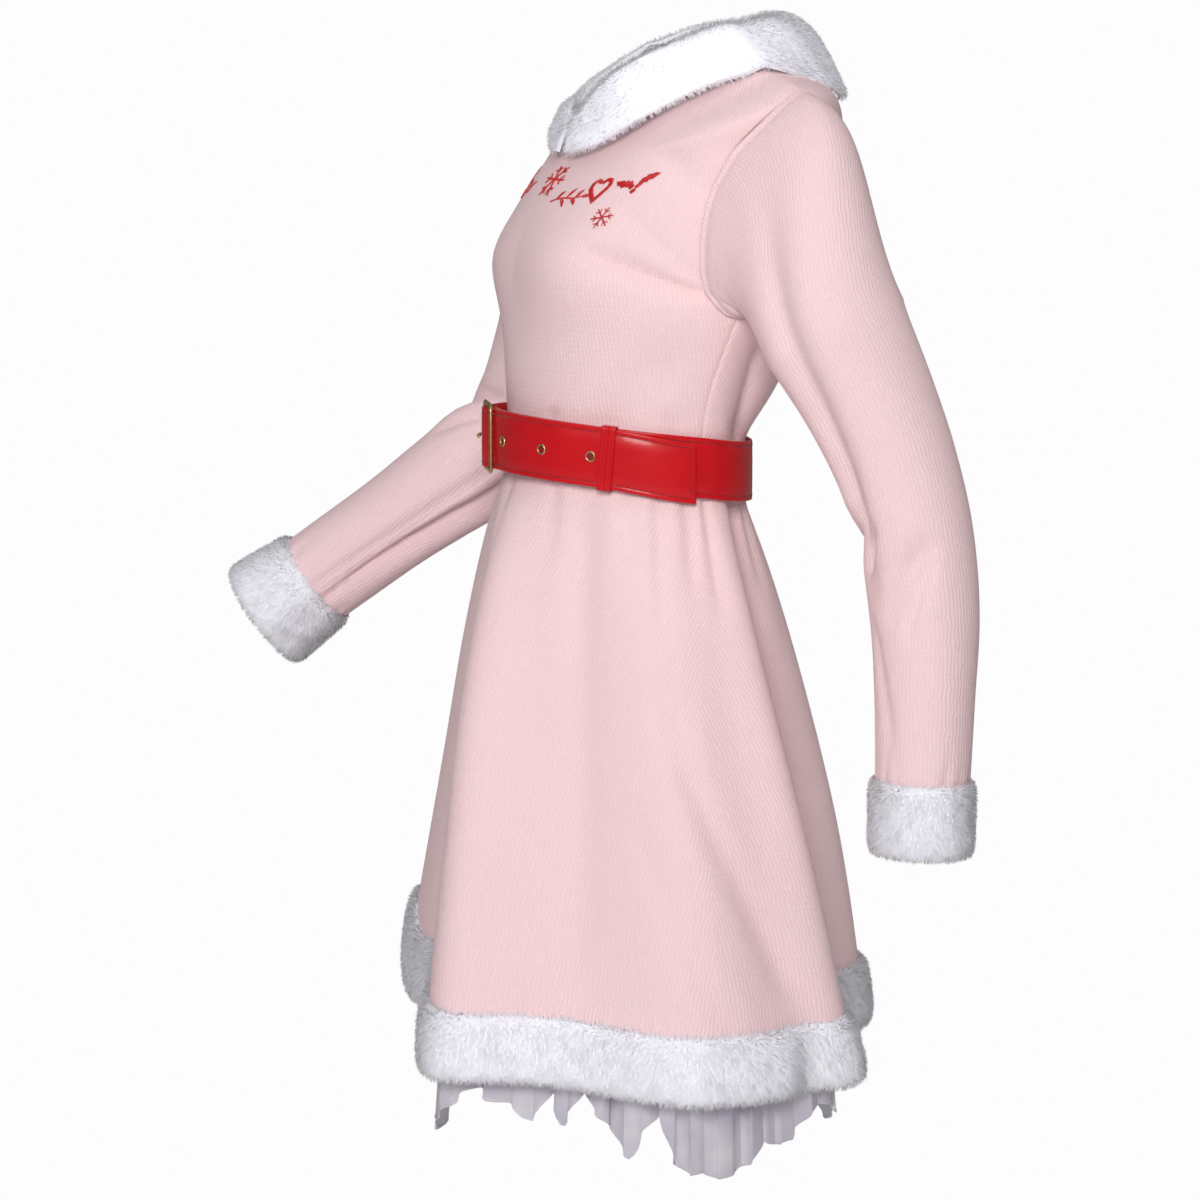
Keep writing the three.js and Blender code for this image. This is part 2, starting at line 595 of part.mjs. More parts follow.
function petticoatRuffle() {
  const count = RUFFLE_WAVES * POINTS_PER_WAVE;
  const rows = spaced(2, PETTICOAT_SPLIT_ROW + 0.02, PETTICOAT_END_ROW);
  const grid = rows.map((row) => Array.from({ length: count }, (_, i) => {
    const grown = smooth((row - PETTICOAT_SPLIT_ROW) / 1.6);
    const rise = waveRise(i) * mix(RUFFLE_DEPTH_AT_SEAM, RUFFLE_DEPTH, grown);
    const hang = (row - PETTICOAT_SPLIT_ROW) / (PETTICOAT_END_ROW - PETTICOAT_SPLIT_ROW);
    const angle = -180 + 360 * i / count;
    const longer = 0.15 * hang * waveRise(i) + hang * ruffleLength(angle);
    const inset = mix(FLEECE + PETTICOAT_INSET, RUFFLE_INSET, grown);
    return petticoatPoint(angle, row + longer, inset - rise);
  }));
  return piece('petticoat_ruffle', clothWall(grid, SATIN, true, 1), SATIN_LOOK);
}

// Sleeves

// The armhole's edge: 0 is the shoulder point, 90 the front edge, 180 the underarm.
function armholePoint(side, degrees) {
  const front = degrees <= 180;
  const up = front ? 1 - degrees / 180 : degrees / 180 - 1;
  const row = mix(UNDERARM_ROW, SHOULDER_ROW, (1 - Math.cos(up * Math.PI)) / 2);
  const widest = front ? ARMHOLE_FRONT_DEG : ARMHOLE_BACK_DEG;
  const reach = Math.max(0, armholeReach(row, widest) - 0.4);
  const angle = front ? 90 - reach : 90 + reach;
  const point = bodicePoint(side * angle, row);
  const out = new THREE.Vector3(side, 0, -0.1).normalize();
  return point.addScaledVector(out, 1.2);
}

function sectionCentre(table, k) {
  const row = rowAt(table, k);
  return new THREE.Vector3(row.x, row.y, row.z);
}

// The axis, outward and front directions of a sleeve at a section.
function sectionFrame(table, k, side) {
  const step = 0.05;
  const last = table.length - 1;
  const a = sectionCentre(table, Math.max(0, k - step));
  const b = sectionCentre(table, Math.min(last, k + step));
  const axis = b.sub(a).normalize();
  const away = new THREE.Vector3(side, 0, 0);
  const out = away.addScaledVector(axis, -away.dot(axis)).normalize();
  const front = axis.clone().cross(out).multiplyScalar(side).normalize();
  return { axis, out, front };
}

function sectionPoint(table, k, side, degrees, creases) {
  const row = rowAt(table, k);
  const { out, front } = sectionFrame(table, k, side);
  const down = 0.3 + 0.7 * k / (table.length - 1);
  let crease = 0;
  for (const c of creases) {
    crease += creaseDepth(c, down, degrees, c.fromDown, c.toDown, c.fromAngle, c.toAngle);
  }
  const cos = Math.cos(degrees * DEGREE);
  const sin = Math.sin(degrees * DEGREE);
  return new THREE.Vector3(row.x, row.y, row.z)
    .addScaledVector(out, cos * (row.outHalf - crease))
    .addScaledVector(front, sin * (row.frontHalf - crease));
}

// A smooth path from the armhole's edge to the first sleeve section.
function capPoint(table, side, degrees, k, creases) {
  const from = armholePoint(side, degrees);
  const to = sectionPoint(table, 0, side, degrees, creases);
  const { axis } = sectionFrame(table, 0, side);
  const reach = from.distanceTo(to);
  const leave = new THREE.Vector3(side, 0.22, -0.1).normalize().multiplyScalar(reach * 1.1);
  const arrive = axis.clone().multiplyScalar(reach * 1.1);
  const k2 = k * k;
  const k3 = k2 * k;
  return from.clone().multiplyScalar(2 * k3 - 3 * k2 + 1)
    .addScaledVector(leave, k3 - 2 * k2 + k)
    .addScaledVector(to, -2 * k3 + 3 * k2)
    .addScaledVector(arrive, k3 - k2);
}

function sleeve(name, table, side, creases) {
  const angles = spaced(SLEEVE_SIDES, 0, 360).slice(0, -1);
  const grid = [];
  for (const k of spaced(CAP_ROWS, 0, 1).slice(0, -1)) {
    grid.push(angles.map((a) => capPoint(table, side, a, k, creases)));
  }
  const last = table.length - 1;
  for (const k of spaced(last * ROWS_PER_SECTION, 0, last)) {
    grid.push(angles.map((a) => sectionPoint(table, k, side, a, creases)));
  }
  return piece(name, clothWall(grid, FLEECE, true, side), FLEECE_LOOK);
}

// Fur cuff: a thick rounded band past the end of the sleeve.
const CUFF_PROFILE = [
  { down: 0, out: 0.5 }, { down: 0.1, out: 0.9 }, { down: 0.5, out: 1 }, { down: 0.9, out: 0.95 },
  { down: 1, out: 0.5 }, { down: 0.97, out: 0.05 }, { down: 0.5, out: 0 }, { down: 0, out: 0 },
];

function cuff(name, table, side, creases, flare) {
  const last = table.length - 1;
  const { axis } = sectionFrame(table, last, side);
  const centre = sectionCentre(table, last);
  const stations = spaced(CUFF_SIDES, 0, 360).slice(0, -1).map((a) => {
    const edge = sectionPoint(table, last, side, a, creases);
    const out = edge.clone().sub(centre).normalize();
    return CUFF_PROFILE.map((p) => edge.clone()
      .addScaledVector(axis, SEAM_GAP + p.down * CUFF_HEIGHT)
      .addScaledVector(out, p.out * FUR_THICKNESS - CUFF_FUR_INSET + flare * p.down));
  });
  return piece(name, sweptBand(stations, true), FUR_LOOK);
}

// Collar

function collarPoint(degrees, position) {
  const last = COLLAR_RINGS.length - 1;
  const aside = Math.abs(angleBetween(degrees, 0));
  const short = COLLAR_SHORT.share * bell(aside - COLLAR_SHORT.angle, COLLAR_SHORT.spread);
  const row = position - short * Math.max(0, position - COLLAR_FALL_ROW);
  const point = ringPoint(rowAt(COLLAR_RINGS, row), degrees);
  const fall = smooth((last - row) / 2 - 0.2);
  const early = fall * smooth((row - 0.6) / 1.2);
  const late = fall * smooth((row - 1.2) / 1.2);
  let wave = late * COLLAR_TILT * point.x;
  for (const w of COLLAR_WAVES) {
    const free = w.rise > 0 ? early : late;
    wave += free * w.rise * bell(angleBetween(degrees, w.angle), w.spread);
  }
  const edge = smooth((row - COLLAR_FALL_ROW + 0.6) / 1.6);
  const drop = COLLAR_DROP.depth * bell(aside - COLLAR_DROP.angle, COLLAR_DROP.spread);
  point.z += wave - edge * drop;
  return point;
}

function collar() {
  const angles = spaced(COLLAR_COLUMNS, COLLAR_NOTCH_DEG, 360 - COLLAR_NOTCH_DEG);
  const rows = spaced(COLLAR_ROWS, 0, COLLAR_RINGS.length - 1);
  const grid = rows.map((row) => angles.map((a) => collarPoint(a, row)));
  return piece('collar', clothWall(grid, COLLAR_THICKNESS, false, 1), FUR_LOOK);
}

// Belt

function beltPoint(degrees, offset, up) {
  const ring = rowAt(BODICE_RINGS, 0);
  const point = ringPoint(ring, degrees);
  const out = outward(ring, point);
  const standOff = BELT_STAND_OFF + BELT_FRONT_SLACK * bell(angleBetween(degrees, BUCKLE_ANGLE), 42);
  return point.addScaledVector(out, standOff + offset).add(new THREE.Vector3(0, 0, up));
}

// How far the strap lies out from its inner layer at an angle along its route.
function strapLift(angle) {
  const next = Math.max(1, STRAP_ROUTE.findIndex((stop) => stop.angle >= angle));
  const a = STRAP_ROUTE[next - 1];
  const b = STRAP_ROUTE[next];
  return mix(a.lift, b.lift, smooth((angle - a.angle) / (b.angle - a.angle)));
}

function strapDroop(angle) {
  return STRAP_END_DROOP * smooth((angle - STRAP_DROOP_START) / (STRAP_END - STRAP_DROOP_START));
}

// The strap starts under the buckle, goes once round the waist, passes through the buckle
// and ends lying on itself at the wearer's left side.
function beltStrap() {
  const half = BELT_WIDTH / 2;
  const angles = STRAP_ROUTE.slice(1).flatMap((stop, i) => (
    spaced(stop.steps, STRAP_ROUTE[i].angle, stop.angle).slice(0, -1)));
  const stations = [...angles, STRAP_END].map((angle) => {
    const lift = strapLift(angle);
    const droop = strapDroop(angle);
    return [
      beltPoint(angle, lift + BELT_THICKNESS, half - droop),
      beltPoint(angle, lift + BELT_THICKNESS, -half - droop),
      beltPoint(angle, lift, -half - droop),
      beltPoint(angle, lift, half - droop),
    ];
  });
  return piece('belt_strap', sweptBand(stations, false), BELT_LOOK);
}

// The level directions along and away from the belt at an angle.
function beltFrame(degrees, offset, up) {
  const origin = beltPoint(degrees, offset, up);
  const along = beltPoint(degrees + 1, offset, up).sub(beltPoint(degrees - 1, offset, up)).normalize();
  const upward = new THREE.Vector3(0, 0, 1).addScaledVector(along, -along.z).normalize();
  const out = along.clone().cross(upward).normalize();
  return { origin, along, upward, out };
}

function inFrame(frame, along, up, out) {
  return frame.origin.clone()
    .addScaledVector(frame.along, along)
    .addScaledVector(frame.upward, up)
    .addScaledVector(frame.out, out);
}

function beltKeeper() {
  const frame = beltFrame(KEEPER_ANGLE, 0, 0);
  const low = -KEEPER_CLEARANCE;
  const high = 2 * BELT_THICKNESS + 0.6 + KEEPER_CLEARANCE + 1.2;
  const half = BELT_WIDTH / 2 + KEEPER_CLEARANCE + 0.6;
  const wide = KEEPER_WIDTH / 2;
  const corners = [
    { out: low, up: -half, outWay: -1, upWay: -1 },
    { out: high, up: -half, outWay: 1, upWay: -1 },
    { out: high, up: half, outWay: 1, upWay: 1 },
    { out: low, up: half, outWay: -1, upWay: 1 },
  ];
  const stations = corners.map(({ out, up, outWay, upWay }) => [
    inFrame(frame, -wide, up, out),
    inFrame(frame, wide, up, out),
    inFrame(frame, wide, up + upWay * KEEPER_THICKNESS, out + outWay * KEEPER_THICKNESS),
    inFrame(frame, -wide, up + upWay * KEEPER_THICKNESS, out + outWay * KEEPER_THICKNESS),
  ]);
  return piece('belt_keeper', sweptBand(stations, true), BELT_LOOK);
}

// A wire of six sides bent round the four corners of the buckle.
function buckleFrame() {
  const frame = beltFrame(BUCKLE_ANGLE, BUCKLE_OUT, 0);
  const halfWide = (BUCKLE_WIDTH - BUCKLE_WIRE) / 2;
  const halfHigh = (BUCKLE_HEIGHT - BUCKLE_WIRE) / 2;
  const corners = [[-1, -1], [1, -1], [1, 1], [-1, 1]];
  const radius = BUCKLE_WIRE / 2;
  const stations = corners.map(([a, u]) => spaced(6, 0, 360).slice(0, -1).map((turn) => {
    const grow = Math.cos(turn * DEGREE) * radius;
    const out = Math.sin(turn * DEGREE) * radius;
    return inFrame(frame, a * (halfWide + grow), u * (halfHigh + grow), out);
  }));
  return piece('buckle_frame', sweptBand(stations, true), BRASS_LOOK);
}

function rod(name, frame, from, to, radius) {
  const stations = [from, to].map((end) => spaced(8, 0, 360).slice(0, -1).map((turn) => (
    inFrame(
      frame,
      end.along + Math.cos(turn * DEGREE) * radius * end.wide,
      end.up + Math.cos(turn * DEGREE) * radius * end.high,
      end.out + Math.sin(turn * DEGREE) * radius,
    ))));
  return piece(name, sweptBand(stations, false), BRASS_LOOK);
}

function buckleBar() {
  const frame = beltFrame(BUCKLE_ANGLE, BUCKLE_OUT, 0);
  const reach = BUCKLE_HEIGHT / 2 - BUCKLE_WIRE - SEAM_GAP;
  const low = { along: 0, up: -reach, out: 0, wide: 1, high: 0 };
  const high = { along: 0, up: reach, out: 0, wide: 1, high: 0 };
  return rod('buckle_bar', frame, low, high, BUCKLE_WIRE / 2 - 0.3);
}

// The prong comes out of the strap's hole and its tip rests on the frame.
function buckleProng() {
  const frame = beltFrame(BUCKLE_ANGLE, BUCKLE_OUT, 0);
  const hole = { along: PRONG_FROM, up: 0, out: PRONG_OUT, wide: 0, high: 1 };
  const tip = { along: -BUCKLE_WIDTH / 2 - PRONG_PAST, up: 0, out: PRONG_TIP_OUT, wide: 0, high: 1 };
  return rod('buckle_prong', frame, hole, tip, PRONG_RADIUS);
}

function eyelet(name, angle, up) {
  const lift = strapLift(angle) + BELT_THICKNESS;
  const frame = beltFrame(angle, lift, up);
  const profile = [
    [EYELET_INNER, 0.3], [EYELET_OUTER, 0.3], [EYELET_OUTER - 0.4, 1], [EYELET_INNER + 0.4, 1.2],
  ];
  const stations = spaced(14, 0, 360).slice(0, -1).map((turn) => profile.map(([radius, out]) => (
    inFrame(frame, radius * Math.cos(turn * DEGREE), radius * Math.sin(turn * DEGREE), out))));
  return piece(name, sweptBand(stations, true), BRASS_LOOK);
}

const model = new THREE.Group();
model.add(bodiceFront());
model.add(bodiceBack());
model.add(skirtPanel('skirt_front', -90, 90));
model.add(skirtPanel('skirt_back', 90, 270));
model.add(furHem('fur_hem_front', -90, 90));
model.add(furHem('fur_hem_back', 90, 270));
model.add(petticoatTop());
model.add(petticoatRuffle());
model.add(sleeve('sleeve_left', LEFT_SLEEVE, 1, LEFT_CREASES));
model.add(sleeve('sleeve_right', RIGHT_SLEEVE, -1, RIGHT_CREASES));
model.add(cuff('cuff_left', LEFT_SLEEVE, 1, LEFT_CREASES, LEFT_CUFF_FLARE));
model.add(cuff('cuff_right', RIGHT_SLEEVE, -1, RIGHT_CREASES, RIGHT_CUFF_FLARE));
model.add(collar());
model.add(beltStrap());
model.add(beltKeeper());
model.add(buckleFrame());
model.add(buckleBar());
model.add(buckleProng());
EYELET_ANGLES.forEach((angle, i) => model.add(eyelet(`eyelet_${i + 1}`, angle + 360, 0)));

export default model;
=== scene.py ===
"""Elf costume: a worn long-sleeved fleece dress with fur trim, a pointed petticoat and its own belt.

Laid out as an add-on and run as a script. Shapes are worked out in millimetres from the same
tables as the solids and stored in metres: +Z up, the dress faces -Y, the wearer's left is +X.
"""

import math
from collections import namedtuple
from types import SimpleNamespace

import bpy
import numpy as np
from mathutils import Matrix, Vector


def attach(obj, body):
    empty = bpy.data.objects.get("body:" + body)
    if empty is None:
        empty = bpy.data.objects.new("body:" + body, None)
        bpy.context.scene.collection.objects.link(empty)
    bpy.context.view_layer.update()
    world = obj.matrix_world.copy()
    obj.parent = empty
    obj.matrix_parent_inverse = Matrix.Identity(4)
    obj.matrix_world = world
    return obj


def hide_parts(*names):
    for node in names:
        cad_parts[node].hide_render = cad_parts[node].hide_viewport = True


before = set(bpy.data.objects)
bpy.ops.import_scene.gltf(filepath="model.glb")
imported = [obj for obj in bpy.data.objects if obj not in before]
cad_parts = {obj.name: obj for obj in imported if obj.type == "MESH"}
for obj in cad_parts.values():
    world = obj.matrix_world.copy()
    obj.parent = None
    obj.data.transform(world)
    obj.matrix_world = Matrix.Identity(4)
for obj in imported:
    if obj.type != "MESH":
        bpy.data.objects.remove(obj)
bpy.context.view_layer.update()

bl_info = {
    "name": "Elf Costume",
    "version": (1, 0, 0),
    "blender": (4, 5, 0),
    "location": "View3D > Sidebar > Costume",
    "description": "Builds a worn fleece dress with fur trim, a petticoat and a belt",
    "category": "Add Mesh",
}

# Tables, in millimetres and degrees. 0 degrees is the centre front, 90 the wearer's left.

Ring = namedtuple("Ring", "name front_y front_z side_x side_y side_z back_y back_z")
Fold = namedtuple("Fold", "name top hem rise spread start lift")
Section = namedtuple("Section", "name x y z out_half front_half")
Crease = namedtuple("Crease", "name from_down to_down from_angle to_angle depth spread")
Wave = namedtuple("Wave", "name angle rise spread")
Stop = namedtuple("Stop", "name angle lift steps")

BODICE_RINGS = (
    Ring("waist", -158, -277, 120, -44, -291, 27, -303),
    Ring("belt edge", -159, -249, 122.5, -42, -262, 30, -275),
    Ring("ribs", -160, -216, 132, -38, -224, 56, -236),
    Ring("underarm", -160, -166, 148, -22, -168, 84, -178),
    Ring("bust", -156, -124, 151, -8, -128, 101, -128),
    Ring("chest", -141, -84, 152, 2, -78, 112, -80),
    Ring("upper chest", -123, -60, 158, 12, -28, 110, -38),
    Ring("shoulder", -109, -47, 166, 20, 10, 96, 0),
    Ring("yoke", -104, -41, 118, 4, 27, 74, 25),
    Ring("neck", -100, -36, 74, -14, 36, 54, 43),
)
UNDERARM_ROW = 3
SHOULDER_ROW = 7
ARMHOLE_FRONT = 20
ARMHOLE_BACK = 33
BUST_RISE, BUST_ANGLE, BUST_SPREAD, BUST_Z, BUST_HEIGHT = 13, 30, 21, -132, 40

SKIRT_RINGS = (
    Ring("waist", -158, -277.4, 120, -44, -291.4, 27, -303.4),
    Ring("belt edge", -160, -304, 123, -45, -318, 29, -330),
    Ring("high hip", -175, -376, 148, -56, -388, 45, -398),
    Ring("hip", -190, -476, 174, -64, -484, 66, -494),
    Ring("thigh", -206, -604, 204, -68, -608, 92, -618),
    Ring("hem", -227, -733, 229, -70, -733, 112, -739),
    Ring("below", -240, -790, 238, -72, -790, 120, -796),
    Ring("ruffle", -246, -856, 244, -74, -856, 126, -860),
)
HEM_ROW = 5
HEM_LIFT_RIGHT, HEM_LIFT_WIDTH = 44, 480

SKIRT_FOLDS = (
    Fold("front trough", -4, -4, -8, 11, 0.38, 10),
    Fold("front edge fold", 6, 21, 52, 12, 0.22, -4),
    Fold("near panel trough", 52, 58, -13, 15, 0.28, 0),
    Fold("near panel swell", 80, 92, 8, 18, 0.38, 0),
    Fold("side fold", 98, 126, 27, 11, 0.21, 0),
    Fold("deep trough", 118, 148, -26, 10, 0.23, 4),
    Fold("back fold", 150, 170, 20, 12, 0.23, 0),
    Fold("back trough", -174, -167, -18, 11, 0.28, 3),
    Fold("far back fold", -148, -143, 22, 13, 0.23, 0),
    Fold("far back trough", -120, -117, -17, 12, 0.33, 2),
    Fold("far side fold", -92, -90, 24, 14, 0.23, 0),
    Fold("far front trough", -60, -62, -12, 12, 0.38, 4),
    Fold("far front fold", -34, -38, 4, 13, 0.28, 20),
)

LEFT_SLEEVE = (
    Section("upper arm", 213, 36, -176, 60, 61),
    Section("biceps", 224, 58, -226, 54, 54),
    Section("above elbow", 236, 77, -280, 49, 49),
    Section("elbow", 246, 90, -338, 47, 46),
    Section("below elbow", 252, 96, -400, 46, 43),
    Section("forearm", 256, 95, -466, 44, 39),
    Section("cuff seam", 258, 93, -531, 42, 37),
)
RIGHT_SLEEVE = (
    Section("upper arm", -207, -34, -176, 57, 60),
    Section("biceps", -216, -47, -226, 52, 55),
    Section("elbow", -230, -66, -282, 50, 52),
    Section("below elbow", -248, -108, -326, 48, 49),
    Section("forearm", -265, -142, -354, 46, 45),
    Section("wrist", -283, -178, -383, 43, 42),
    Section("cuff seam", -312, -236, -430, 39, 42),
)

# Sleeve creases run from one place to another: down the sleeve, 0 at the armhole and 1 at the
# cuff, and round it, 0 outward, 90 front, 180 inward, 270 back.
LEFT_CREASES = (
    Crease("front fold", 0.22, 0.66, 52, 88, 9, 16),
    Crease("elbow dent", 0.66, 0.76, 20, 62, 6, 16),
    Crease("inner elbow", 0.6, 0.7, 100, 150, 7, 20),
    Crease("back of arm", 0.3, 0.6, 290, 260, 5, 18),
)
RIGHT_CREASES = (
    Crease("inner elbow", 0.52, 0.62, 120, 60, 8, 18),
    Crease("under fold", 0.5, 0.93, 214, 196, 9, 15),
    Crease("outer fold", 0.55, 0.85, 330, 310, 5, 17),
)
# Bodice creases run up in rows of the rings' table.
BODICE_CREASES = (
    Crease("bust drape", 4.2, 3.4, 40, 70, 6, 10),
    Crease("waist drape", 0.6, 2.4, 50, 68, 4, 11),
    Crease("back drape", 2.8, 0.9, 108, 126, 9, 13),
    Crease("far bust drape", 4.1, 3.4, -42, -68, 6, 10),
    Crease("far waist drape", 0.6, 2.2, -56, -66, 4, 11),
    Crease("far back drape", 2.7, 0.9, -114, -132, 7, 13),
)

# Finer creases that only the looks have.
FINE_BODICE_CREASES = (
    Crease("bust drape edge", 4.1, 3.42, 38, 77, 4, 4.5),
    Crease("second drape", 4.8, 3.7, 46, 74, 3.4, 4.5),
    Crease("armhole hollow", 6.6, 5.2, 43, 67, 4, 7),
    Crease("belt pucker", 0.5, 1.3, 80, 76, 2.4, 3),
    Crease("front pucker", 0.5, 1.1, 24, 27, 2, 3),
    Crease("back fold edge", 2.5, 0.8, 113, 130, 5.1, 4.5),
    Crease("back hollow", 5.6, 3.2, 150, 166, 5.1, 14),
    Crease("far drape edge", 4.0, 3.3, -48, -72, 3.1, 3.6),
    Crease("far second drape", 4.6, 4.0, -52, -70, 2.4, 4),
    Crease("far armhole hollow", 6.5, 4.4, -61, -63, 3.7, 7),
    Crease("far pucker", 0.5, 1.2, -72, -78, 2.2, 3),
    Crease("far back edge", 2.4, 0.9, -118, -135, 4.4, 4.5),
    Crease("back pucker", 0.5, 1.4, 172, 168, 3.1, 4),
)
FINE_SKIRT_CREASES = (
    Crease("near gather one", 0.9, 2.3, 73, 76, 3.3, 3.2),
    Crease("near gather two", 0.9, 1.9, 84, 88, 3.6, 3),
    Crease("near gather three", 0.9, 2.1, 93, 100, 3.9, 3.2),
    Crease("near gather four", 0.9, 1.6, 62, 62, 2.4, 3),
    Crease("front gather", 0.9, 1.8, 28, 31, 2.4, 4),
    Crease("front edge line", 1.2, 4.6, 0, 4, 4.5, 4),
    Crease("valley", 1.2, 4.9, 44, 48, 7, 8),
    Crease("low diagonal", 3.2, 4.9, 80, 116, 6, 5),
    Crease("low diagonal two", 3.9, 4.9, 70, 92, 3.3, 5),
    Crease("side edge", 0.9, 5.7, 123, 141, 20, 8),
    Crease("back gather one", 0.9, 2.0, 136, 142, 3.6, 3.4),
    Crease("back gather two", 0.9, 1.8, 160, 165, 3.3, 3.2),
    Crease("back gather three", 0.9, 2.2, -164, -162, 3.6, 3.4),
    Crease("back line", 2.2, 4.8, -178, -176, 3.9, 6),
    Crease("far gather one", 0.9, 1.9, -136, -134, 3.3, 3.2),
    Crease("far gather two", 0.9, 2.2, -106, -104, 3.6, 3.4),
    Crease("far gather three", 0.9, 1.7, -80, -78, 3, 3),
    Crease("far diagonal", 3.2, 4.9, -84, -70, 4.2, 5),
    Crease("far front line", 2.0, 4.8, -48, -50, 3.6, 6),
)
FINE_LEFT_CREASES = (
    Crease("front fold edge", 0.2, 0.6, 56, 92, 3, 10),
    Crease("cap hollow", 0.04, 0.2, 96, 84, 5.7, 12),
    Crease("elbow line", 0.69, 0.78, 16, 44, 4.9, 7),
    Crease("elbow line two", 0.62, 0.7, 66, 104, 4.2, 7),
    Crease("inner line", 0.5, 0.62, 130, 176, 5.7, 9),
    Crease("forearm line", 0.78, 0.93, 96, 70, 3, 9),
    Crease("back line", 0.46, 0.74, 250, 226, 4.6, 9),
)
FINE_RIGHT_CREASES = (
    Crease("under fold edge", 0.5, 0.95, 208, 190, 5.4, 6),
    Crease("ridge line", 0.6, 0.97, 176, 170, 3.4, 7),
    Crease("inner line", 0.55, 0.66, 140, 96, 4.8, 8),
    Crease("top line", 0.5, 0.9, 60, 40, 3.1, 10),
    Crease("outer line", 0.6, 0.86, 320, 300, 4.1, 8),
    Crease("cap hollow", 0.04, 0.2, 96, 84, 5.1, 12),
)

COLLAR_RINGS = (
    Ring("seam", -102, -34.4, 74, -14, 39.4, 54, 44.8),
    Ring("stand", -103, -18, 75, -16, 42, 55, 57),
    Ring("fold", -107, -7, 82, -16, 46, 62, 67),
    Ring("over", -114, -12, 98, -8, 47, 82, 60),
    Ring("fall", -119, -27, 116, 0, 42, 101, 41),
    Ring("edge", -123, -43, 134, 8, 38, 118, 16),
)
COLLAR_NOTCH = 4
COLLAR_TILT = 0.09
COLLAR_WAVES = (
    Wave("front dip", 0, -13, 15),
    Wave("left of the neck", 48, 19, 36),
    Wave("left shoulder", 100, 5, 28),
)
COLLAR_DROP, COLLAR_DROP_ANGLE, COLLAR_DROP_SPREAD = 16, 142, 26
COLLAR_SHORT, COLLAR_SHORT_ANGLE, COLLAR_SHORT_SPREAD = 0.7, 58, 30
COLLAR_FALL_ROW = 4
# The rows where its rising and falling waves set in, and how many rows that takes.
COLLAR_EARLY, COLLAR_LATE, COLLAR_RAMP = 0.6, 1.2, 1.2
# Where the collar sinks onto the shoulder.
SHOULDER_REST, SHOULDER_REST_ANGLE, SHOULDER_REST_SPREAD = 6, 106, 20
COLLAR_THICKNESS = 5.2

FLEECE, SATIN, SEAM_GAP = 2.0, 1.2, 0.3
CUFF_HEIGHT, CUFF_FUR, CUFF_INSET = 60, 9, 5
HEM_HEIGHT, HEM_FUR, HEM_INSET = 57, 11, 4
PETTICOAT_SPLIT_ROW, PETTICOAT_END_ROW = 3.9, 6.7
PETTICOAT_INSET, RUFFLE_INSET = 20, 24
RUFFLE_WAVES, POINTS_PER_WAVE = 40, 12
RUFFLE_SATIN = SATIN * 0.6
HEM_ROLL_HALF_HEIGHT, HEM_ROLL_HALF_DEPTH = 1.5, 0.8

BELT_WIDTH, BELT_THICKNESS = 49, 2.6
BELT_STAND_OFF, BELT_FRONT_SLACK, BELT_SLACK_SPREAD = 5, 6, 42
BUCKLE_ANGLE, BUCKLE_OUT = -13, 6.5
BUCKLE_HEIGHT, BUCKLE_WIDTH, BUCKLE_WIRE, BUCKLE_CORNER = 58, 50, 4.2, 5
PRONG_START, PRONG_PAST, PRONG_OUT, PRONG_TIP_OUT = -4.0, 2, 7.4, 3.4
STRAP_ROUTE = (
    Stop("bar end", -12, 0, 0),
    Stop("left side", 90, 0, 110),
    Stop("right side", 270, 0, 170),
    Stop("before the buckle", 322, 0, 56),
    Stop("far side of the frame", 336, 3, 18),
    Stop("over the bar", 347, 9, 18),
    Stop("near side of the frame", 358, 3, 18),
    Stop("on the strap", 372, 3, 18),
    Stop("square end", 446, 3, 84),
)
# The strap's mesh is finer from where it rises over the buckle to where it lies flat again.
STRAP_START, STRAP_TURN, STRAP_FLAT, STRAP_END = -12, 322, 376, 446
STRAP_STEP, STRAP_TURN_STEP = 1.6, 0.8
STRAP_DROOP_START, STRAP_END_DROOP = 408, 5
STITCH_INSET, STITCH_END = 4, 2.2
STITCH_SHARE, STITCH_RADIUS, STITCH_RISE = 0.72, 0.42, 0.1
KEEPER_ANGLE, KEEPER_WIDTH = 53, 12
EYELET_ANGLES = (364, 386, 406.5)
# An eyelet's section: how far from its middle and how far out each point is.
EYELET_PROFILE = (
    (3.0, 0.25), (3.0, 0.7), (3.2, 1.05), (3.6, 1.22), (4.05, 1.12), (4.4, 0.8), (4.6, 0.3), (4.4, 0.2),
)

# How far the sleeve's edge reaches over the bodice's, and how far it stands off it.
SLEEVE_OVER, SLEEVE_LIFT = 0.5, 1.3
# The sleeve's cap leaves the armhole back and down, pulled by a share of its length.
CAP_LEAVE, CAP_PULL = (0.22, -0.1), 1.1
# Where a sleeve's sections begin, as a share of its whole length.
SECTIONS_FROM = 0.3

# A seam's edge is turned in by this depth, over this width.
SEAM_DEPTH, SEAM_WIDTH = 0.8, 1.8
# Edges sharper than this are shown sharp.
SHARP_FROM = math.radians(55)
# The steps, in degrees and rows, over which a surface's slope is taken.
SLOPE_DEGREES, SLOPE_ROWS = 0.4, 0.03

# The pile: the sizes of its clumps and tufts, and how deep its roots go.
CLUMP_SIZE, TUFT_SIZE, ROOT_DEPTH = 16, 7, 0.8
# How far the light on the collar's pile is spread upward, as a share of its normals.
PILE_LIFT = 0.6


# Small helpers


def mix(a, b, k):
    return a + (b - a) * k


def clamp01(k):
    return np.clip(k, 0.0, 1.0)


def smooth(k):
    c = clamp01(k)
    return c * c * (3 - 2 * c)


def bell(distance, spread):
    return np.exp(-((distance / spread) ** 2))


def angle_between(a, b):
    return (a - b + 180.0) % 360.0 - 180.0


def unit(v):
    return v / np.maximum(np.linalg.norm(v, axis=-1, keepdims=True), 1e-12)


